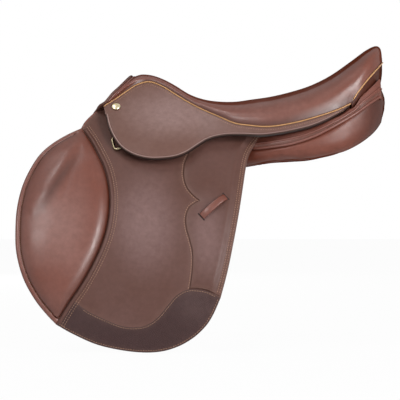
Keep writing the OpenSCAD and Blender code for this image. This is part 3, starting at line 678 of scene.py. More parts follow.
# pebbled leather: its oval is painted sheen on the toe patch
PEBBLE = hide(
    "pebbled_leather", (69, 48, 47), (50, 35, 35), (96, 75, 73), (100, 76, 70), rough=0.5,
    grain=480, bump=0.34, spec=0.18, pebble=0.5, clouds=0.12, sheen_pools=((-6, -246, 52, 50, 0.45),))
STRAP = hide(
    "strap_leather", (112, 70, 54), (86, 48, 36), (124, 84, 68), (80, 46, 34), rough=0.48,
    grain=900, bump=0.12, spec=0.3)
SUEDE = plain("flesh_side", (120, 84, 68), (98, 66, 52), 0.85, 260.0, 0.25)
EDGE = plain("painted_edge", (84, 50, 40), (64, 36, 28), 0.45)
# near-black cut edge of the skirt: partly edge paint, partly painted shadow under the skirt's edge
DARK_EDGE_AND_SHADOW = plain("dark_edge_paint_and_shadow", (40, 24, 20), (28, 16, 13), 0.5)
PALE_EDGE = plain("pale_edge", (168, 132, 112), (140, 104, 86), 0.5)
TAN = plain("tan_piping", (210, 160, 108), (188, 138, 90), 0.45, 200.0)
THREAD = plain("tan_thread", (172, 134, 110), (148, 111, 89), 0.7, 900.0, 0.3)
DARK_THREAD = plain("brown_thread", (120, 84, 72), (96, 64, 54), 0.7, 900.0, 0.3)
SLOT = plain("slot_shadow", (44, 24, 18), (30, 16, 12), 0.8)
FOAM = plain("felt", (196, 182, 140), (176, 160, 118), 0.95, 300.0, 0.4)
STEEL = metal("satin_steel", (168, 168, 166), (140, 140, 138), 0.32)
NICKEL = metal("polished_nickel", (218, 208, 178), (190, 176, 138), 0.2)
# darker copy of the polished nickel for the dee: painted shade under the skirt
SHADED_NICKEL = metal("nickel_in_painted_shade", (150, 138, 112), (112, 100, 80), 0.24)
BEECH = wood("beech", (206, 168, 120), (160, 116, 74))
WEB = woven("webbing_weave", (206, 192, 160), (160, 144, 112))

# ---- outlines in side view

FLAP_FRONT = [[-161, 78], [-177, 64], [-190, 50], [-196, 39]]
KNEE_EDGE = [
    [-196, 39], [-219, 28], [-242, 13.5], [-261.5, -4.5], [-276, -28], [-288, -57], [-295, -91],
    [-296.5, -125], [-294, -164], [-282.5, -204], [-264, -237.5], [-244.5, -262], [-229, -278]]
FLAP_FOOT = [
    [-229, -278], [-201, -293.5], [-161.5, -310.5], [-113, -320.5], [-72, -322], [-40, -315],
    [-12.5, -300.5], [8, -282], [21, -262.5], [33, -235.5]]
FLAP_REAR = [
    [33, -235.5], [44.5, -192], [54.5, -144], [63, -99], [70, -56], [76, -20], [82, -2], [91, 12],
    [102, 25]]
KNEE_SEAM = [
    [-195, 38], [-181, 19], [-167, -5], [-155, -29.5], [-147, -61], [-145.5, -93], [-149.5, -124.5],
    [-157.5, -151.5], [-170, -180], [-188, -213], [-210, -246], [-228, -276]]
S_SEAM_A = [[-20, -5], [-26, -21], [-27, -41], [-22, -59], [-12, -72], [-1, -81]]
S_SEAM_B = [
    [-1, -81], [-8, -84], [-18, -92], [-23, -106], [-23, -122], [-18, -141], [-13, -160],
    [-12, -180], [-14, -203], [-17, -222]]
PATCH_TOP = [
    [-200, -240], [-179, -256], [-152, -269], [-127, -279], [-106, -282], [-86, -279], [-68, -267],
    [-52, -248], [-38, -232], [-22, -223], [-5, -222], [14, -226], [33, -235.5]]
SKIRT_EDGE = [
    [-156, 60], [-150, 39], [-141, 21], [-128, 5], [-108, -7], [-84, -13], [-60, -13], [-39, -10],
    [-21, -3], [-6, 7], [9, 17]]
TAIL_EDGE = [
    [9, 17], [24, 22.6], [46, 26], [73, 26], [101, 25], [127, 28], [150, 32], [180, 39.4],
    [205, 49.4], [230, 62.8], [247, 74.6]]
FLAP_TOP = [[102, 25], [-20, 44], [-161, 78]]
SEAT_EDGE = [
    [-160, 75], [-142, 87], [-122, 102], [-105, 113], [-85, 118], [-63, 110], [-41, 96], [-17, 81],
    [8, 68], [33, 56.5], [57, 46], [82, 42], [106, 40], [131, 42], [164, 48.6], [197, 58],
    [222, 66.5], [237, 73], [244, 76.5], [248, 78.5], [250, 79.6]]
SEAT_RIDGE = [
    [-112, 129], [-105, 131.6], [-98, 133], [-88, 132.6], [-76, 130], [-60, 123.7], [-42, 114],
    [-17, 98.6], [8, 90], [34, 86.6], [60, 86.6], [85, 90], [119, 95], [153, 103], [187, 114],
    [221, 131], [255, 154.6], [280, 173], [297, 181], [306, 176], [309, 157]]
SKIRT_IN, SKIRT_OUT = 19.0, 23.5
PIPING_R = 2.2
EDGE_LIFT = PIPING_R + 1.8


def edge_p(u):
    q = through(SEAT_EDGE, u)
    y = side_at(q[..., 1], SKIRT_OUT - 1)[..., 0] + flare(q[..., 0])
    return np.stack([q[..., 0], y, q[..., 1]], -1)


def seat_p(u, a):
    """Seat surface: u along it, a across, from -90 at the off edge to 90 at the near edge."""
    u, a = np.broadcast_arrays(real(u), real(a))
    e, c = edge_p(u), through(SEAT_RIDGE, u)
    k = np.cos(np.radians(a))
    back = smooth(0.2, 2.4, u)
    h = np.maximum(k, 0) ** (1.1 - 0.3 * back)
    return np.stack([lerp(e[..., 0], c[..., 0], k), -e[..., 1] * np.sin(np.radians(a)),
                     lerp(e[..., 2] + EDGE_LIFT * (0.4 + 0.6 * back), c[..., 1], h)], -1)


def seat_nrm(u, a):
    e, f = 0.04, 1.5
    p = seat_p(np.minimum(20, u + e), a) - seat_p(np.maximum(0, u - e), a)
    q = seat_p(u, np.maximum(-88, a - f)) - seat_p(u, np.minimum(88, a + f))
    return unit(np.cross(p, q))


def seat_in(u, a, d):
    return seat_p(u, a) - d * seat_nrm(u, a)


# ---- pieces of one side, mirrored later

FLAP_T = 4.0
SEWN_AT, FACE_AT = 4.05, 6.0
SWEAT_AT = -8.8


def ripple(v, amp, seed):
    """Slow unevenness of hand-cut leather."""
    x, s = v[:, 0], v[:, 1]
    return amp * (np.sin(x / 31 + seed) * np.sin(s / 43 + 2 * seed)
                  + 0.6 * np.sin((x + s) / 23 + 3 * seed) + 0.4 * np.sin((x - 1.7 * s) / 17 + seed))


def face(v, e, outline, top, r, uneven, seed, calm):
    """Height of a cut of leather: rounded at its edge by r, and uneven away from it."""
    e = distance(v, outline, True) if e is None else e
    return top - r + r * quarter(e / r) + ripple(v, uneven, seed) * smooth(*calm, e)


knee_edge, flap_rear, flap_foot, flap_front = (
    flat(curve(p), FLAP_T) for p in (KNEE_EDGE, FLAP_REAR, FLAP_FOOT, FLAP_FRONT))
knee_seam, patch_top = (flat(curve(p), FACE_AT) for p in (KNEE_SEAM, PATCH_TOP))
s_seam = flat(np.vstack([curve(S_SEAM_A), curve(S_SEAM_B)[1:]]), FACE_AT)
flap_cut = np.vstack([flap_front, knee_edge[1:], flap_foot[1:], flap_rear[1:],
                      flat(FLAP_TOP, FLAP_T)[1:]])
shapes = {"flap_leather": leather(flap_cut, rim(FLAP_T, 0, 1.5), 0.0, 14, (0.6, 1.6))}

# grained facing
facing_cut = np.vstack([
    flap_front[:-1] + [2, 0], knee_seam[knee_seam[:, 1] < patch_top[0, 1]],
    patch_top[patch_top[:, 0] < -17.5] + [0, 2.0], s_seam[::-1],
    flat([[-19, 20], [-22, 44], [-161, 77]], FACE_AT)])


def facing_height(v, e=None):
    return face(v, e, facing_cut, 6.0, 0.9, 0.16, 1.0, (2, 20))


shapes["flap_facing_leather"] = leather(facing_cut, facing_height, SEWN_AT, 7, (0.45, 1.0, 2.4))

# knee pad between the rim and the seam
RIM_W = 8.0
rim_line = offset(knee_edge, RIM_W)[6:-5]
pad_seam = offset(knee_seam, -1.2)[2:-3]
pad_cut = np.vstack([rim_line, pad_seam[::-1]])
FOLD_A, FOLD_B = flat([[-199, -9], [-263, -107]], 12)


def knee_fold(v):
    """How far each point is from the pad's diagonal crease, and how strong the crease is there."""
    ab = FOLD_B - FOLD_A
    t = ((v - FOLD_A) @ ab) / (ab @ ab)
    away = ((v - FOLD_A) @ np.array([ab[1], -ab[0]])) / np.linalg.norm(ab)
    near = np.minimum(distance(v, pad_seam), distance(v, rim_line))
    return away, smooth(-0.2, 0.35, t) * (1 - smooth(0.6, 1.2, t)) * smooth(4, 18, near)


def knee_height(v, _):
    er, el = distance(v, pad_seam), distance(v, rim_line)
    h = 14.6 * (0.6 * quarter(er / 17) + 0.4 * quarter(er / 42)) * quarter(el / 50) ** 0.9
    away, span = knee_fold(v)
    h = h + span * 5.0 * np.exp(-((away + 9) / np.where(away < -9, 15, 10)) ** 2)
    return 4.9 + h + ripple(v, 0.22, 2.0) * smooth(5, 25, np.minimum(er, el))


def knee_painted_shade(v):
    """Painted shade: darker along the rim, the seam and the crease."""
    er, el = distance(v, pad_seam), distance(v, rim_line)
    away, span = knee_fold(v)
    crease = span * np.exp(-((away - 0.5) / 8.5) ** 2)
    return np.clip(0.9 * np.exp(-er / 4) + 0.6 * np.exp(-el / 9) + crease, 0, 1)


pad = leather(pad_cut, knee_height, 4.1, 5, (0.8, 2.0, 4.0), wear_and_painted_light=knee_painted_shade)
held = np.zeros(len(pad.v), bool)
for q, m in zip(pad.f, pad.m):
    if m:
        held[list(q)] = True
pad_flat = flat(np.array(pad.v)[:, [0, 2]], 10)
swell = 2.5 * smooth(1.0, 9.0, distance(pad_flat, pad_cut, True))
shapes["knee_pad_cover"] = stuffed(pad, np.where(held, 0.0, swell), 12.0)

# bound rims of the pad and of the flap's front, and the welt along the knee seam
shapes["flap_binding"] = strip(
    resample(knee_edge, 3.0, False), 0.15, RIM_W + 0.7, 8, 4.2, 2.6, 0.55, SEWN_AT)
shapes["front_binding"] = strip(resample(flap_front, 2.0, False), -0.6, 4.6, 7, 4.2, 2.4, 0.55, 1.0)
shapes["seam_welt"] = strip(offset(knee_seam, 0.3)[1:], 0, 6.6, 7, 6.2, 2.0, 0.6, 6.1)

# calf panel behind the S seam
calf_cut = np.vstack([
    s_seam + [0.5, 0], patch_top[patch_top[:, 0] > -16.5] - [0, 1.6], offset(flap_rear, 1.2)[1:],
    flat([[92, 26], [-18, 43], [-16, 20]], 5)])


def calf_height(v, e=None):
    es, er, eb = (distance(v, p) for p in (s_seam, flap_rear, patch_top))
    puff = 3.8 * quarter(es / 34) * smooth(10, 17, er) * quarter(eb / 16)
    puff += 0.9 * np.exp(-((er - 18.5) / 4.5) ** 2) * smooth(3, 20, eb)
    return puff + face(v, e, calf_cut, 5.35, 1.0, 0.14, 4.0, (4, 20))


shapes["calf_panel"] = leather(calf_cut, calf_height, SEWN_AT, 5, (0.5, 1.1, 2.6))

# toe patch
patch_cut = np.vstack([flap_foot, patch_top[::-1] + [0, 0.3],
                       knee_seam[knee_seam[:, 1] > patch_top[0, 1]] + [0.4, 0]])


def patch_height(v, e=None):
    return face(v, e, patch_cut, 6.8, 1.1, 0.12, 5.0, (2, 15))


shapes["toe_patch_leather"] = leather(patch_cut, patch_height, SEWN_AT, 7, (0.5, 1.1, 2.4))

# skirt, one leather over its fold
u_top = np.linspace(0.03, 18.45, 120)
top_x, _, top_z = edge_p(u_top).T
top_xz = np.stack([top_x, top_z - PIPING_R + 0.6 + 0.8 * (1 - smooth(0.5, 1.8, u_top))], 1)
tail = curve(TAIL_EDGE)[::-1]
tail = tail[tail[:, 0] < top_xz[-1, 0] - 0.5]
skirt_low = flat(np.vstack([tail, curve(SKIRT_EDGE)[::-1][1:]]), SKIRT_OUT - 1)
skirt_cut = np.vstack([flat(top_xz, SKIRT_OUT - 1), skirt_low])


def skirt_height(v, e=None):
    crease = 0.8 * np.exp(-((distance(v, skirt_low) - 4.2) / 0.8) ** 2)
    return face(v, e, skirt_cut, SKIRT_OUT, 1.3, 0.2, 6.0, (5, 24)) - crease


def skirt_painted_shadow_and_highlight(v):
    """A painted shadow line at the lower edge, with a painted highlight for a pale bevel inside it.
    """
    d = distance(v, skirt_low)
    return 1 - smooth(1.5, 2.2, d) - smooth(2.1, 2.7, d) * (1 - smooth(3.0, 4.2, d))


shapes["skirt_leather"] = leather(
    skirt_cut, skirt_height, SKIRT_IN, 7, (0.5, 1.2, 1.9, 2.6, 3.5, 4.2, 4.9, 7), flared=True,
    wear_and_painted_light=skirt_painted_shadow_and_highlight)

# keeper strap: an arch with rounded sides, its ends in slots
KEEPER = flat([[22, -92]], 5)[0]
KEEPER_TURN, KEEPER_HALF, KEEPER_T = math.radians(41), 25.5, 2.6
along = np.array([math.cos(KEEPER_TURN), -math.sin(KEEPER_TURN)])
across = np.array([-along[1], along[0]])
ka = np.linspace(-1, 1, 41)
keeper_mid = KEEPER + ka[:, None] * KEEPER_HALF * along
arch = calf_height(keeper_mid) + 5.8 * np.cos(np.pi / 2 * np.abs(ka) ** 1.6) ** 0.9
top, low = [], []
for w, t in ((-1, 1.2), (-0.9, 2.0), (-0.6, 2.5), (0, KEEPER_T), (0.6, 2.5), (0.9, 2.0), (1, 1.2)):
    for row, h in ((top, t), (low, (KEEPER_T - t) * 0.5)):
        row.append(place(keeper_mid + 5.5 * w * across, arch + h - 1.0))
shapes["keeper_strap"] = grid_solid(np.stack(top, 1), np.stack(low, 1))
# dark strips at the keeper's ends: painted shadow in the slots' openings
shapes["keeper_slots"] = Shape()
for end in (-1, 1):
    line = KEEPER + end * 26.3 * along + np.linspace(-8, 8, 9)[:, None] * across
    h = calf_height(line)
    top, low = [], []
    for o, high in ((-1.1, 0.10), (-0.5, 0.42), (0.5, 0.42), (1.1, 0.10)):
        top.append(place(line + o * along, h + high))
        low.append(place(line + o * along, h - 0.6))
    shapes["keeper_slots"].join(grid_solid(np.stack(top, 1), np.stack(low, 1)))

# stitching on the flap and the skirt
SEW_STEP = 2.0


def flap_height(q):
    return np.where(inside(q, patch_cut), patch_height(q), facing_height(q))


flap_thread = Shape()
for w in (8.6, 12.6):
    line = offset(knee_seam, w, SEW_STEP)
    flap_thread.join(stitch_row(line[line[:, 1] > 8], flap_height))
for w in (3.6, 7.4):
    flap_thread.join(stitch_row(offset(flap_rear, w, SEW_STEP)[3:], calf_height))
line = offset(patch_top, -2.8, SEW_STEP)
flap_thread.join(stitch_row(line[(line[:, 0] > -186) & (line[:, 0] < 26)], patch_height))
flap_thread.join(stitch_row(offset(flap_foot, 3.0, SEW_STEP)[2:-2], patch_height))
line = offset(s_seam, -2.0, SEW_STEP)
flap_thread.join(stitch_row(line[inside(line, resample(facing_cut, 3))], facing_height))
shapes["flap_stitching"] = flap_thread
shapes["binding_stitching"] = stitch_row(offset(knee_edge, RIM_W + 0.1, SEW_STEP)[8:-8],
                                         lambda q: 5.45, 3.2, 2.7, r=0.6)
line = resample(flat(np.stack([top_x, top_z - 5.4], 1)[6:110], SKIRT_OUT), SEW_STEP, False)
shapes["skirt_stitching"] = stitch_row(line, skirt_height, flared=True)

# sweat flap, girth straps and billets under the flap
SWEAT = [
    [-150, 18], [-196, 10], [-232, -30], [-246, -100], [-236, -170], [-206, -232], [-150, -264],
    [-60, -274], [-5, -258], [20, -215], [38, -140], [52, -60], [60, -10], [64, 18]]
shapes["sweat_leather"] = leather(flat(curve(SWEAT, 4), -6), rim(3, SWEAT_AT, 1.0), SWEAT_AT, 14,
                                  (0.5, 1.4))
BILLET_W, BILLET_END = 12.5, -222
BILLET_HALF = ((0.6, 19.6), (1, 19), (1, -208), (0.72, -218))
HOLE = 2.5 * np.stack([np.cos(angles(18)), np.sin(angles(18))], 1)
girth = Shape()
for x, which in ((-82, "front"), (-36, "mid"), (10, "rear")):
    w = BILLET_W
    out = [[x, 19.9], *([x - k * w, z] for k, z in BILLET_HALF), [x, BILLET_END],
           *([x + k * w, z] for k, z in BILLET_HALF[::-1])]
    holes = [flat([[x, BILLET_END + 26 + 25 * k]], 0) + HOLE for k in range(6)]
    sh = leather(flat(out, -2.9), rim(4, -4.9, 1.0), -4.9, 9, (0.5, 1.2, 2.2), holes)
    for s in (-1, 1):
        line = flat([[x + s * (w - 3), z] for z in np.linspace(14, -204, 60)], -1)
        sh.join(stitch_row(line, lambda q: -0.97, r=0.35))
    shapes["billet_strap_" + which] = sh
    out = [[x - w, 20.5], [x + w, 20.5], [x + w, 40], [x - w, 40]]
    girth.join(leather(flat(out, -2.9), rim(2, -3.9, 0.5), -3.9, 9, (0.5,)))
shapes["girth_straps"] = girth

# panel: the stuffed cushion
GULLET = 33.0
PANEL_IN = [
    [-171, 42], [60, 42], [100, 45], [150, 49], [200, 61], [240, 83], [270, 104], [300, 107],
    [309, 102]]
PANEL_TOP = [
    [60, 6], [91, 5.5], [138, 11], [163, 17], [188, 26], [212, 38], [237, 52], [260, 66], [281, 81],
    [300, 92], [309, 90]]
PANEL_LOW = [
    [60, -25], [77, -23], [100, -19.5], [130, -14.5], [160, -12.5], [188, -11], [212, -6.5],
    [237, -0.7], [259, 9.5], [278, 22], [292, 34], [302, 47], [309, 60]]
PANEL_OUT = [
    [60, 88], [85, 94], [100, 101], [118, 110], [150, 118], [190, 119], [230, 114], [260, 104],
    [280, 93], [296, 77], [304, 66], [309, 57]]
PANEL_SIZE = [
    [-171, 0.35], [-166, 0.72], [-152, 0.95], [-125, 1], [200, 1], [295, 1], [303, 0.9],
    [307, 0.72], [309, 0.5]]
PANEL_X = np.hstack([[-171, -169.5, -167.5, -164.5, -160, -154], np.linspace(-146, 295, 75),
                     [298, 300.5, 303, 305, 306.5, 307.8, 308.6, 309]])


def panel_ring(x, m=5):
    lines = PANEL_OUT, PANEL_IN, PANEL_TOP, PANEL_LOW, PANEL_SIZE
    yo, zi, zo, zb, size = (value(p, x) for p in lines)
    g, k, d = GULLET, smooth(-34, 72, x), SWEAT_AT - 1.5
    front = np.array([
        [g, 24], [g + 8, zi - 1], side_at(29, -20), side_at(-6, d), side_at(-50, d),
        side_at(-84, d - 6), side_at(-44, d - 29), side_at(-8, d - 36), [g + 8, 8]])
    rear = np.array([
        [g, lerp(zb, zi, 0.72)], [g + 9, zi - 3], [lerp(g, yo, 0.5), zi - 1], [yo - 5, zo],
        [yo, lerp(zo, zb, 0.45)], [yo - 5, lerp(zo, zb, 0.87)], [lerp(g, yo, 0.66), zb],
        [lerp(g, yo, 0.3), lerp(zb, zi, 0.14)], [g + 1, lerp(zb, zi, 0.38)]])
    p = lerp(front, rear, k)
    ring = through(np.vstack([p[-1:], p, p[:2]]), 1 + np.arange(9 * m) / m)
    c = ring.mean(0)
    ring = c + (ring - c) * size
    return np.stack([np.full(len(ring), x), ring[:, 0], ring[:, 1]], 1)


cushion = loft([panel_ring(x) for x in PANEL_X])
cx, cy, cz = np.array(cushion.v).T
outer = np.clip((value(PANEL_TOP, cx) - 7 - cz) / 10, 0, 1) * smooth(88, 125, cx)
inner = np.where(cy < 46, 0.6, 0.0) * np.clip((70 - cz) / 20, 0, 1) * smooth(-160, -120, cx)
# painted shade: darker towards the panel's rear end, and partly at its front under the flap
cushion.w = list(smooth(236, 294, cx) + 0.4 * (1 - smooth(84, 112, cx)))
shapes["panel_cushion"] = stuffed(cushion, 3.0 * np.maximum(outer, inner), 18.0)

# gusset band over the rear of the panel, with its two welts
GUSSET = [
    [82, 20], [104, 23], [120, 25], [140, 28.5], [165, 34.5], [190, 43], [214, 53.5], [238, 69],
    [258, 84.5], [276, 100], [290, 113], [298, 121]]
gx, gz = curve(GUSSET, 5).T
gy, g_low = value(PANEL_OUT, gx), value(PANEL_TOP, gx) - 1.3
under_tail = value(TAIL_EDGE, gx) - 2.2 - 2.5 * smooth(210, 238, gx)
g_high = lerp(np.minimum(gz, under_tail), gz, smooth(246, 266, gx))
g_foot = np.stack([gx, gy + 1, g_low], 1)
g_head = np.stack([gx, gy - 3 - 0.12 * (g_high - g_low), g_high], 1)
g_out = np.tile([0.0, 1.0, 0.0], (len(gx), 1))
turn = np.radians(np.linspace(9, 90, 10))[:, None]
wrap = np.hstack([2.4 * np.sin(turn), -4.5 * (1 - np.cos(turn)), -1.5 * np.sin(turn)])
inward = np.linspace(0, 1, 9)[1:, None] * [0.0, 1.0, 0.0]
g_foot = np.vstack([g_foot, g_foot[-1] + wrap, g_foot[-1] + wrap[-1] - 34 * inward])
g_head = np.vstack([g_head, g_head[-1] + wrap,
                    g_head[-1] + wrap[-1] - 30 * inward - inward[:, [0, 2, 1]] * 5])
g_out = np.vstack([g_out, np.hstack([np.sin(turn), np.cos(turn), 0 * turn]),
                   np.tile([1.0, 0.0, 0.0], (8, 1))])


def on_gusset(t, lift=0.0):
    fade = 1 - 0.8 * g_out[:, :1]
    return lerp(g_foot, g_head, t) + fade * (1.8 * math.sin(math.pi * t) + lift) * g_out


g_top = np.stack([on_gusset(t) for t in np.linspace(0, 1, 13)], 1)
g_top[:, -1] -= 0.9 * g_out
shapes["gusset_band"] = grid_solid(g_top, g_top - 3.5 * g_out[:, None])
shapes["gusset_welts"] = Shape()
for t, r, lift in ((0.02, 2.3, 0.6), (0.5, 1.7, 0.3)):
    shapes["gusset_welts"].join(tube(on_gusset(t, lift)[:-5], r, (0, 1, 0.2), 12, 3))
HATCH = 96
ends = []
for t, shift in ((0.16, 0.0), (0.36, 0.012)):
    row = on_gusset(t, 0.15)
    cum = run(row)
    ends.append(sample((np.linspace(0.02, 0.95, HATCH) + shift) * cum[-1], cum, row))
shapes["gusset_stitching"] = threads(*ends, np.tile([0.0, 1.0, 0.15], (HATCH, 1)), 0.42, 0.3)

shapes["side_piping"] = tube(edge_p(np.linspace(0, 19, 200)), 1.15, (0, 1, 0))

# ---- pieces on the middle plane

# seat leather, with a lip under its edges
FRONT_U, REAR_U = 0.25, 20.0
LIP = ((0.3, 2.6), (0.1, 1.4), (-0.9, 0.4))
us = np.hstack([np.linspace(FRONT_U, 1, 12)[:-1], np.linspace(1, 16, 120)[:-1],
                np.linspace(16, REAR_U, 50)])
aa = np.hstack([[-88.5, -87, -85], np.linspace(-82, 82, 61), [85, 87, 88.5]])
U, A = np.meshgrid(us, aa, indexing="ij")
edge = edge_p(us)
off, near = (np.stack([edge * [1, k, 1] + [0, k * dy, dz] for dy, dz in LIP][::-k], 1)
             for k in (1, -1))
skin = np.hstack([off, seat_p(U, A), near])
core = np.hstack([off - [0, 3.2, 0], seat_in(U, A, 3.5), near + [0, 3.2, 0]])
lip = skin[-1:] + [0.0, 0, -2.4]
# painted shade: darker towards the seat's edges along the piping, and full on the lips tucked under
# them
wear_and_painted_light = np.pad(np.exp(-(90 - np.abs(A)) / 5), ((0, 1), (len(LIP), len(LIP))), constant_values=1.0)
seat = grid_solid(np.vstack([skin, lip]), np.vstack([core, lip - [3.0, 0, 0]]), wear_and_painted_light)

# foam and webbing under it
FOAM_AT, FOAM_T = 4.1, 18
fu, fa = np.meshgrid(np.linspace(2.4, 17.5, 60), np.linspace(-53.75, 53.75, 31), indexing="ij")
foam_top = seat_in(fu, fa, FOAM_AT)
foam_low = foam_top - np.stack([0 * fu, 0 * fu, FOAM_T * (1 - 0.3 * (fa / 64) ** 2)], -1)
foam = grid_solid(foam_top, foam_low)
wu = np.linspace(4.4, 14.28, 60)
mid = seat_in(wu, 0 * wu, FOAM_AT) - [0, 0, FOAM_T + 1.45]
web_top = np.stack([mid * [1, 0, 1] + [0, y, 0] for y in np.linspace(-20, 20, 9)], 1)
webbing = grid_solid(web_top, web_top - [0, 0, 2])


# cantle welt, and the facing from it down behind the gussets
def cantle_edge(a, out, down):
    k, s = np.cos(np.radians(a)), np.sin(np.radians(a))
    return seat_p(REAR_U, a) + np.stack([out * k, -out * s, np.full(len(a), -EDGE_LIFT - down)], 1)


cantle_welt = tube(cantle_edge(np.linspace(-88.5, 88.5, 120), 0.6, 0), 1.2, (0, 0, 1))
ca = np.linspace(-89, 89, 91)
ck, cs = np.cos(np.radians(ca)), np.sin(np.radians(ca))
rear_y = edge_p(REAR_U)[1]
c_top = cantle_edge(ca, -0.4, 0.3)
c_low = np.stack([247 + 57 * ck, -cs * (rear_y - 6), 58 + 50 * ck**0.8], 1)
c_out = np.stack([ck, -cs, 0 * ck], 1)
c_face = np.array([lerp(c_top, c_low, t) + 2.0 * math.sin(math.pi * t) * c_out
                   for t in np.linspace(0, 1, 11)])
cantle = grid_solid(c_face, c_face - 3.0 * (c_out + [0, 0, 0.25]))

# facing of the pommel arch: two rolled strips in front of the seat's front edge, a lining behind
pa = np.linspace(-86, 86, 121)
fu0, calm = np.full(len(pa), FRONT_U), np.clip(pa, -66, 66)
front, fn = seat_p(fu0, pa), seat_nrm(fu0, calm)
fwd = -unit(seat_p(fu0 + 0.05, calm) - seat_p(fu0, calm))
proud = (0.6 + 0.4 * smooth(86, 66, np.abs(pa)))[:, None] * [-0.7, 0.0, 0.7]
pommel = tube(front - 2.5 * fn + 1.0 * fwd + 1.5 * proud, 2.2, (1, 0, 0))
foot = np.array([[-177.5, 59.5, 64.5], [-172, 61.5, 70.2], [-168.6, 64.2, 74], [-165.4, 67, 77.5]])
roll = np.vstack([foot, front - 1.5 * fn + 4.1 * fwd + 4.0 * proud, foot[::-1] * [1, -1, 1]])
pommel_edge = tube(roll, 2.3, (1, 0, 0))
back = unit([0.7, 0, -0.65] - np.clip(roll[:, 1:2] / 30, -1, 1) * [0, 1.1, 0])
web = np.stack([roll + w * back for w in (0.0, 4.5, 9.0, 13.5)], 1)
web_n = unit(np.cross(np.gradient(roll, axis=0), back))[:, None]
pommel_edge.join(grid_solid(web, web + 1.6 * web_n))
LINING = ((3.0, 2.0), (4.0, 4.6), (7.0, 4.4), (9.0, 3.0))
lining = np.stack([front - d * fn + f * fwd for d, f in LINING], 1)
pommel.join(grid_solid(lining, lining - 2.2 * fwd[:, None] - 0.6 * fn[:, None]))

# ---- objects

# materials, slot and the CAD nodes that a piece stands for
SEAT, FLAP, TRIM = "seat_leather", "flap_leather", "trim_leather"
LOOK = {
    "flap_leather": ([GRAIN, EDGE, SUEDE], FLAP, "flap", "flap_head"),
    "flap_facing_leather": ([GRAIN, PALE_EDGE, SUEDE], FLAP, "flap_facing"),
    "knee_pad_cover": ([CALF, CALF, SUEDE], SEAT, "knee_pad", "knee_pad_tip"),
    "flap_binding": ([CALF], SEAT),
    "seam_welt": ([GRAIN], FLAP),
    "front_binding": ([CALF], SEAT),
    "calf_panel": ([GRAIN, EDGE, SUEDE], SEAT, "calf_pad"),
    "toe_patch_leather": ([PEBBLE, PALE_EDGE, SUEDE], "patch_leather", "toe_patch"),
    "keeper_strap": ([CALF], SEAT, "leather_keeper"),
    "keeper_slots": ([SLOT], SEAT),
    "flap_stitching": ([THREAD], TRIM),
    "binding_stitching": ([THREAD], TRIM),
    "skirt_leather": ([SKIRT, DARK_EDGE_AND_SHADOW, SUEDE], FLAP, "skirt", "skirt_flap"),
    "skirt_stitching": ([THREAD], TRIM),
    "sweat_leather": ([GRAIN, EDGE, SUEDE], FLAP, "sweat_flap"),
    "girth_straps": ([WEB, WEB, WEB], "webbing"),
    "panel_cushion": ([PANEL], SEAT, "panel"),
    "gusset_band": ([CALF], SEAT, "panel_gusset"),
    "gusset_welts": ([CALF], SEAT),
    "gusset_stitching": ([DARK_THREAD], TRIM),
    "side_piping": ([TAN], TRIM)}
for which in ("front", "mid", "rear"):
    LOOK["billet_strap_" + which] = ([STRAP, EDGE, SUEDE], "billet_leather", "billet_" + which)
FLAP_BEND = {"flap_leather", "flap_facing_leather", "knee_pad_cover", "flap_binding", "seam_welt",
             "calf_panel", "flap_stitching", "binding_stitching"}
FLAP_RIDE = {"toe_patch_leather", "keeper_strap", "keeper_slots"}


for side, k in SIDES:
    for key, sh in shapes.items():
        mats, slot, *nodes = LOOK[key]
        o = piece(f"{side}_{key}", sh, mats, k)
        if nodes:
            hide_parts(*[f"{side}_{n}" for n in nodes])
        if key in FLAP_BEND:
            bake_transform(o)
        elif key in FLAP_RIDE:
            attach(o, f"{side}_flap_part")
        elif key.startswith("skirt_"):
            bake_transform(o)
        elif key.startswith("billet_strap_"):
            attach(o, f"{side}_billet_{key[13:]}_part")
        else:
            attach(o, "saddle")
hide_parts("girth_webbing")
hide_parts("seat_piping")

MIDDLE = {
    "seat_leather_cover": (seat, [CALF], SEAT, "seat_cover"),
    "seat_padding": (foam, [FOAM], "foam", "seat_foam"),
    "seat_strap": (webbing, [WEB], "webbing", "seat_webbing"),
    "cantle_welt": (cantle_welt, [TAN], TRIM, None),
    "cantle_leather_painted_shade": (cantle, [CANTLE_PAINTED_SHADE], SEAT, "cantle_facing"),
    "pommel_leather": (pommel, [CALF], SEAT, "pommel_facing"),
    "pommel_edge_roll": (pommel_edge, [GRAIN], FLAP, None)}
for name, (sh, mats, slot, cad) in MIDDLE.items():
    o = piece(name, sh, mats)
    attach(o, "saddle")
    if cad:
        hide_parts(cad)

# CAD nodes that stay
KEEP = {"tree": BEECH, "head_plate": STEEL, "tree_rivets": STEEL, "catch_pins": STEEL,
        "skirt_nails": NICKEL}
for side, _ in SIDES:
    KEEP.update({f"{side}_stirrup_bar": STEEL, f"{side}_bar_catch": STEEL,
                 f"{side}_dee": SHADED_NICKEL, f"{side}_dee_chape": STRAP})
for n, m in KEEP.items():
    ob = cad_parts[n]
    ob.data.materials.clear()
    ob.data.materials.append(m)

# ---- floor, light, camera


def looked_at(nt):
    """1 where the camera, a mirror or glass looks at it."""
    lp = node(nt, "LightPath")
    eye, mirror, glass = (lp.outputs[f"Is {k} Ray"] for k in ("Camera", "Glossy", "Transmission"))
    return calc(nt, "MAXIMUM", calc(nt, "MAXIMUM", eye, mirror), glass)


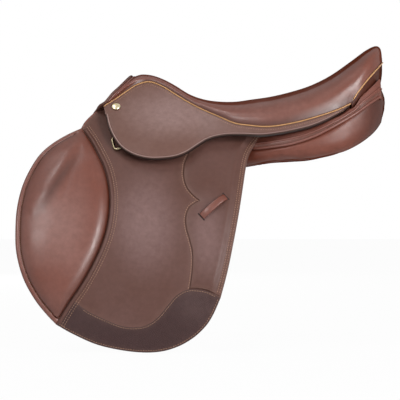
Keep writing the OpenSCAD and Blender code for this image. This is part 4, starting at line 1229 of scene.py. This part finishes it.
def stage_material():
    """Pale floor: nearly white where it is looked at, and it keeps the shadow."""
    m = bpy.data.materials.new("pale_floor")
    m.use_nodes = True
    nt = m.node_tree
    nt.nodes.clear()
    dif = node(nt, "BsdfDiffuse", Color=(0.9, 0.9, 0.9, 1))
    emi = node(nt, "Emission", Strength=1.0)
    fac = calc(nt, "MULTIPLY", looked_at(nt), 0.97)
    both = node(nt, "MixShader", fac, dif.outputs[0], emi.outputs[0])
    node(nt, "OutputMaterial", Surface=both.outputs[0])
    return m


FLOOR, FLOOR_Z = 8, cad_box[0].z - 0.001
mesh = bpy.data.meshes.new("floor")
mesh.from_pydata([(x * FLOOR, y * FLOOR, FLOOR_Z) for x, y in ((-1, -1), (1, -1), (1, 1), (-1, 1))],
                 [], [(0, 1, 2, 3)])
mesh.materials.append(stage_material())
floor = linked("floor", mesh)

world = bpy.data.worlds.new("studio")
scene.world = world
world.use_nodes = True
wn = world.node_tree
bg = wn.nodes["Background"]
bg.inputs["Color"].default_value = (1, 1, 1, 1)
feed(wn, bg.inputs["Strength"], ramp(wn, looked_at(wn), 0, 1, 0.1, 1.0))


def softbox(name, at, look, size, power):
    d = bpy.data.lights.new(name, "AREA")
    d.shape = "RECTANGLE"
    d.size, d.size_y = size
    d.energy = power
    o = linked(name, d)
    o.location = at
    o.rotation_mode = "QUATERNION"
    o.rotation_quaternion = (Vector(look) - Vector(at)).to_track_quat("-Z", "Y")


softbox("right", (1.45, -1.95, 0.45), (0.0, 0, -0.05), (0.7, 1.5), 40)
softbox("left", (-1.3, -2.4, 1.5), (-0.05, 0, -0.05), (0.9, 0.9), 21)
softbox("top", (-1.0, -0.7, 2.1), (0.0, 0, 0), (0.7, 0.7), 11)
softbox("behind", (-0.9, 2.6, 0.5), (0.0, 0, -0.1), (1.4, 1.0), 22)

SENSOR_MM, AWAY, PHOTO_MM = 36, 3.0, 680.0
cam = bpy.data.cameras.new("camera")
cam.sensor_width = SENSOR_MM
cam.lens = SENSOR_MM * AWAY / MM / PHOTO_MM
cam.clip_end = 50
camera = linked("camera", cam)
camera.location = (0, -AWAY, -0.08)
camera.rotation_euler = (math.pi / 2, 0, 0)
scene.camera = camera
scene.view_settings.view_transform = "Standard"
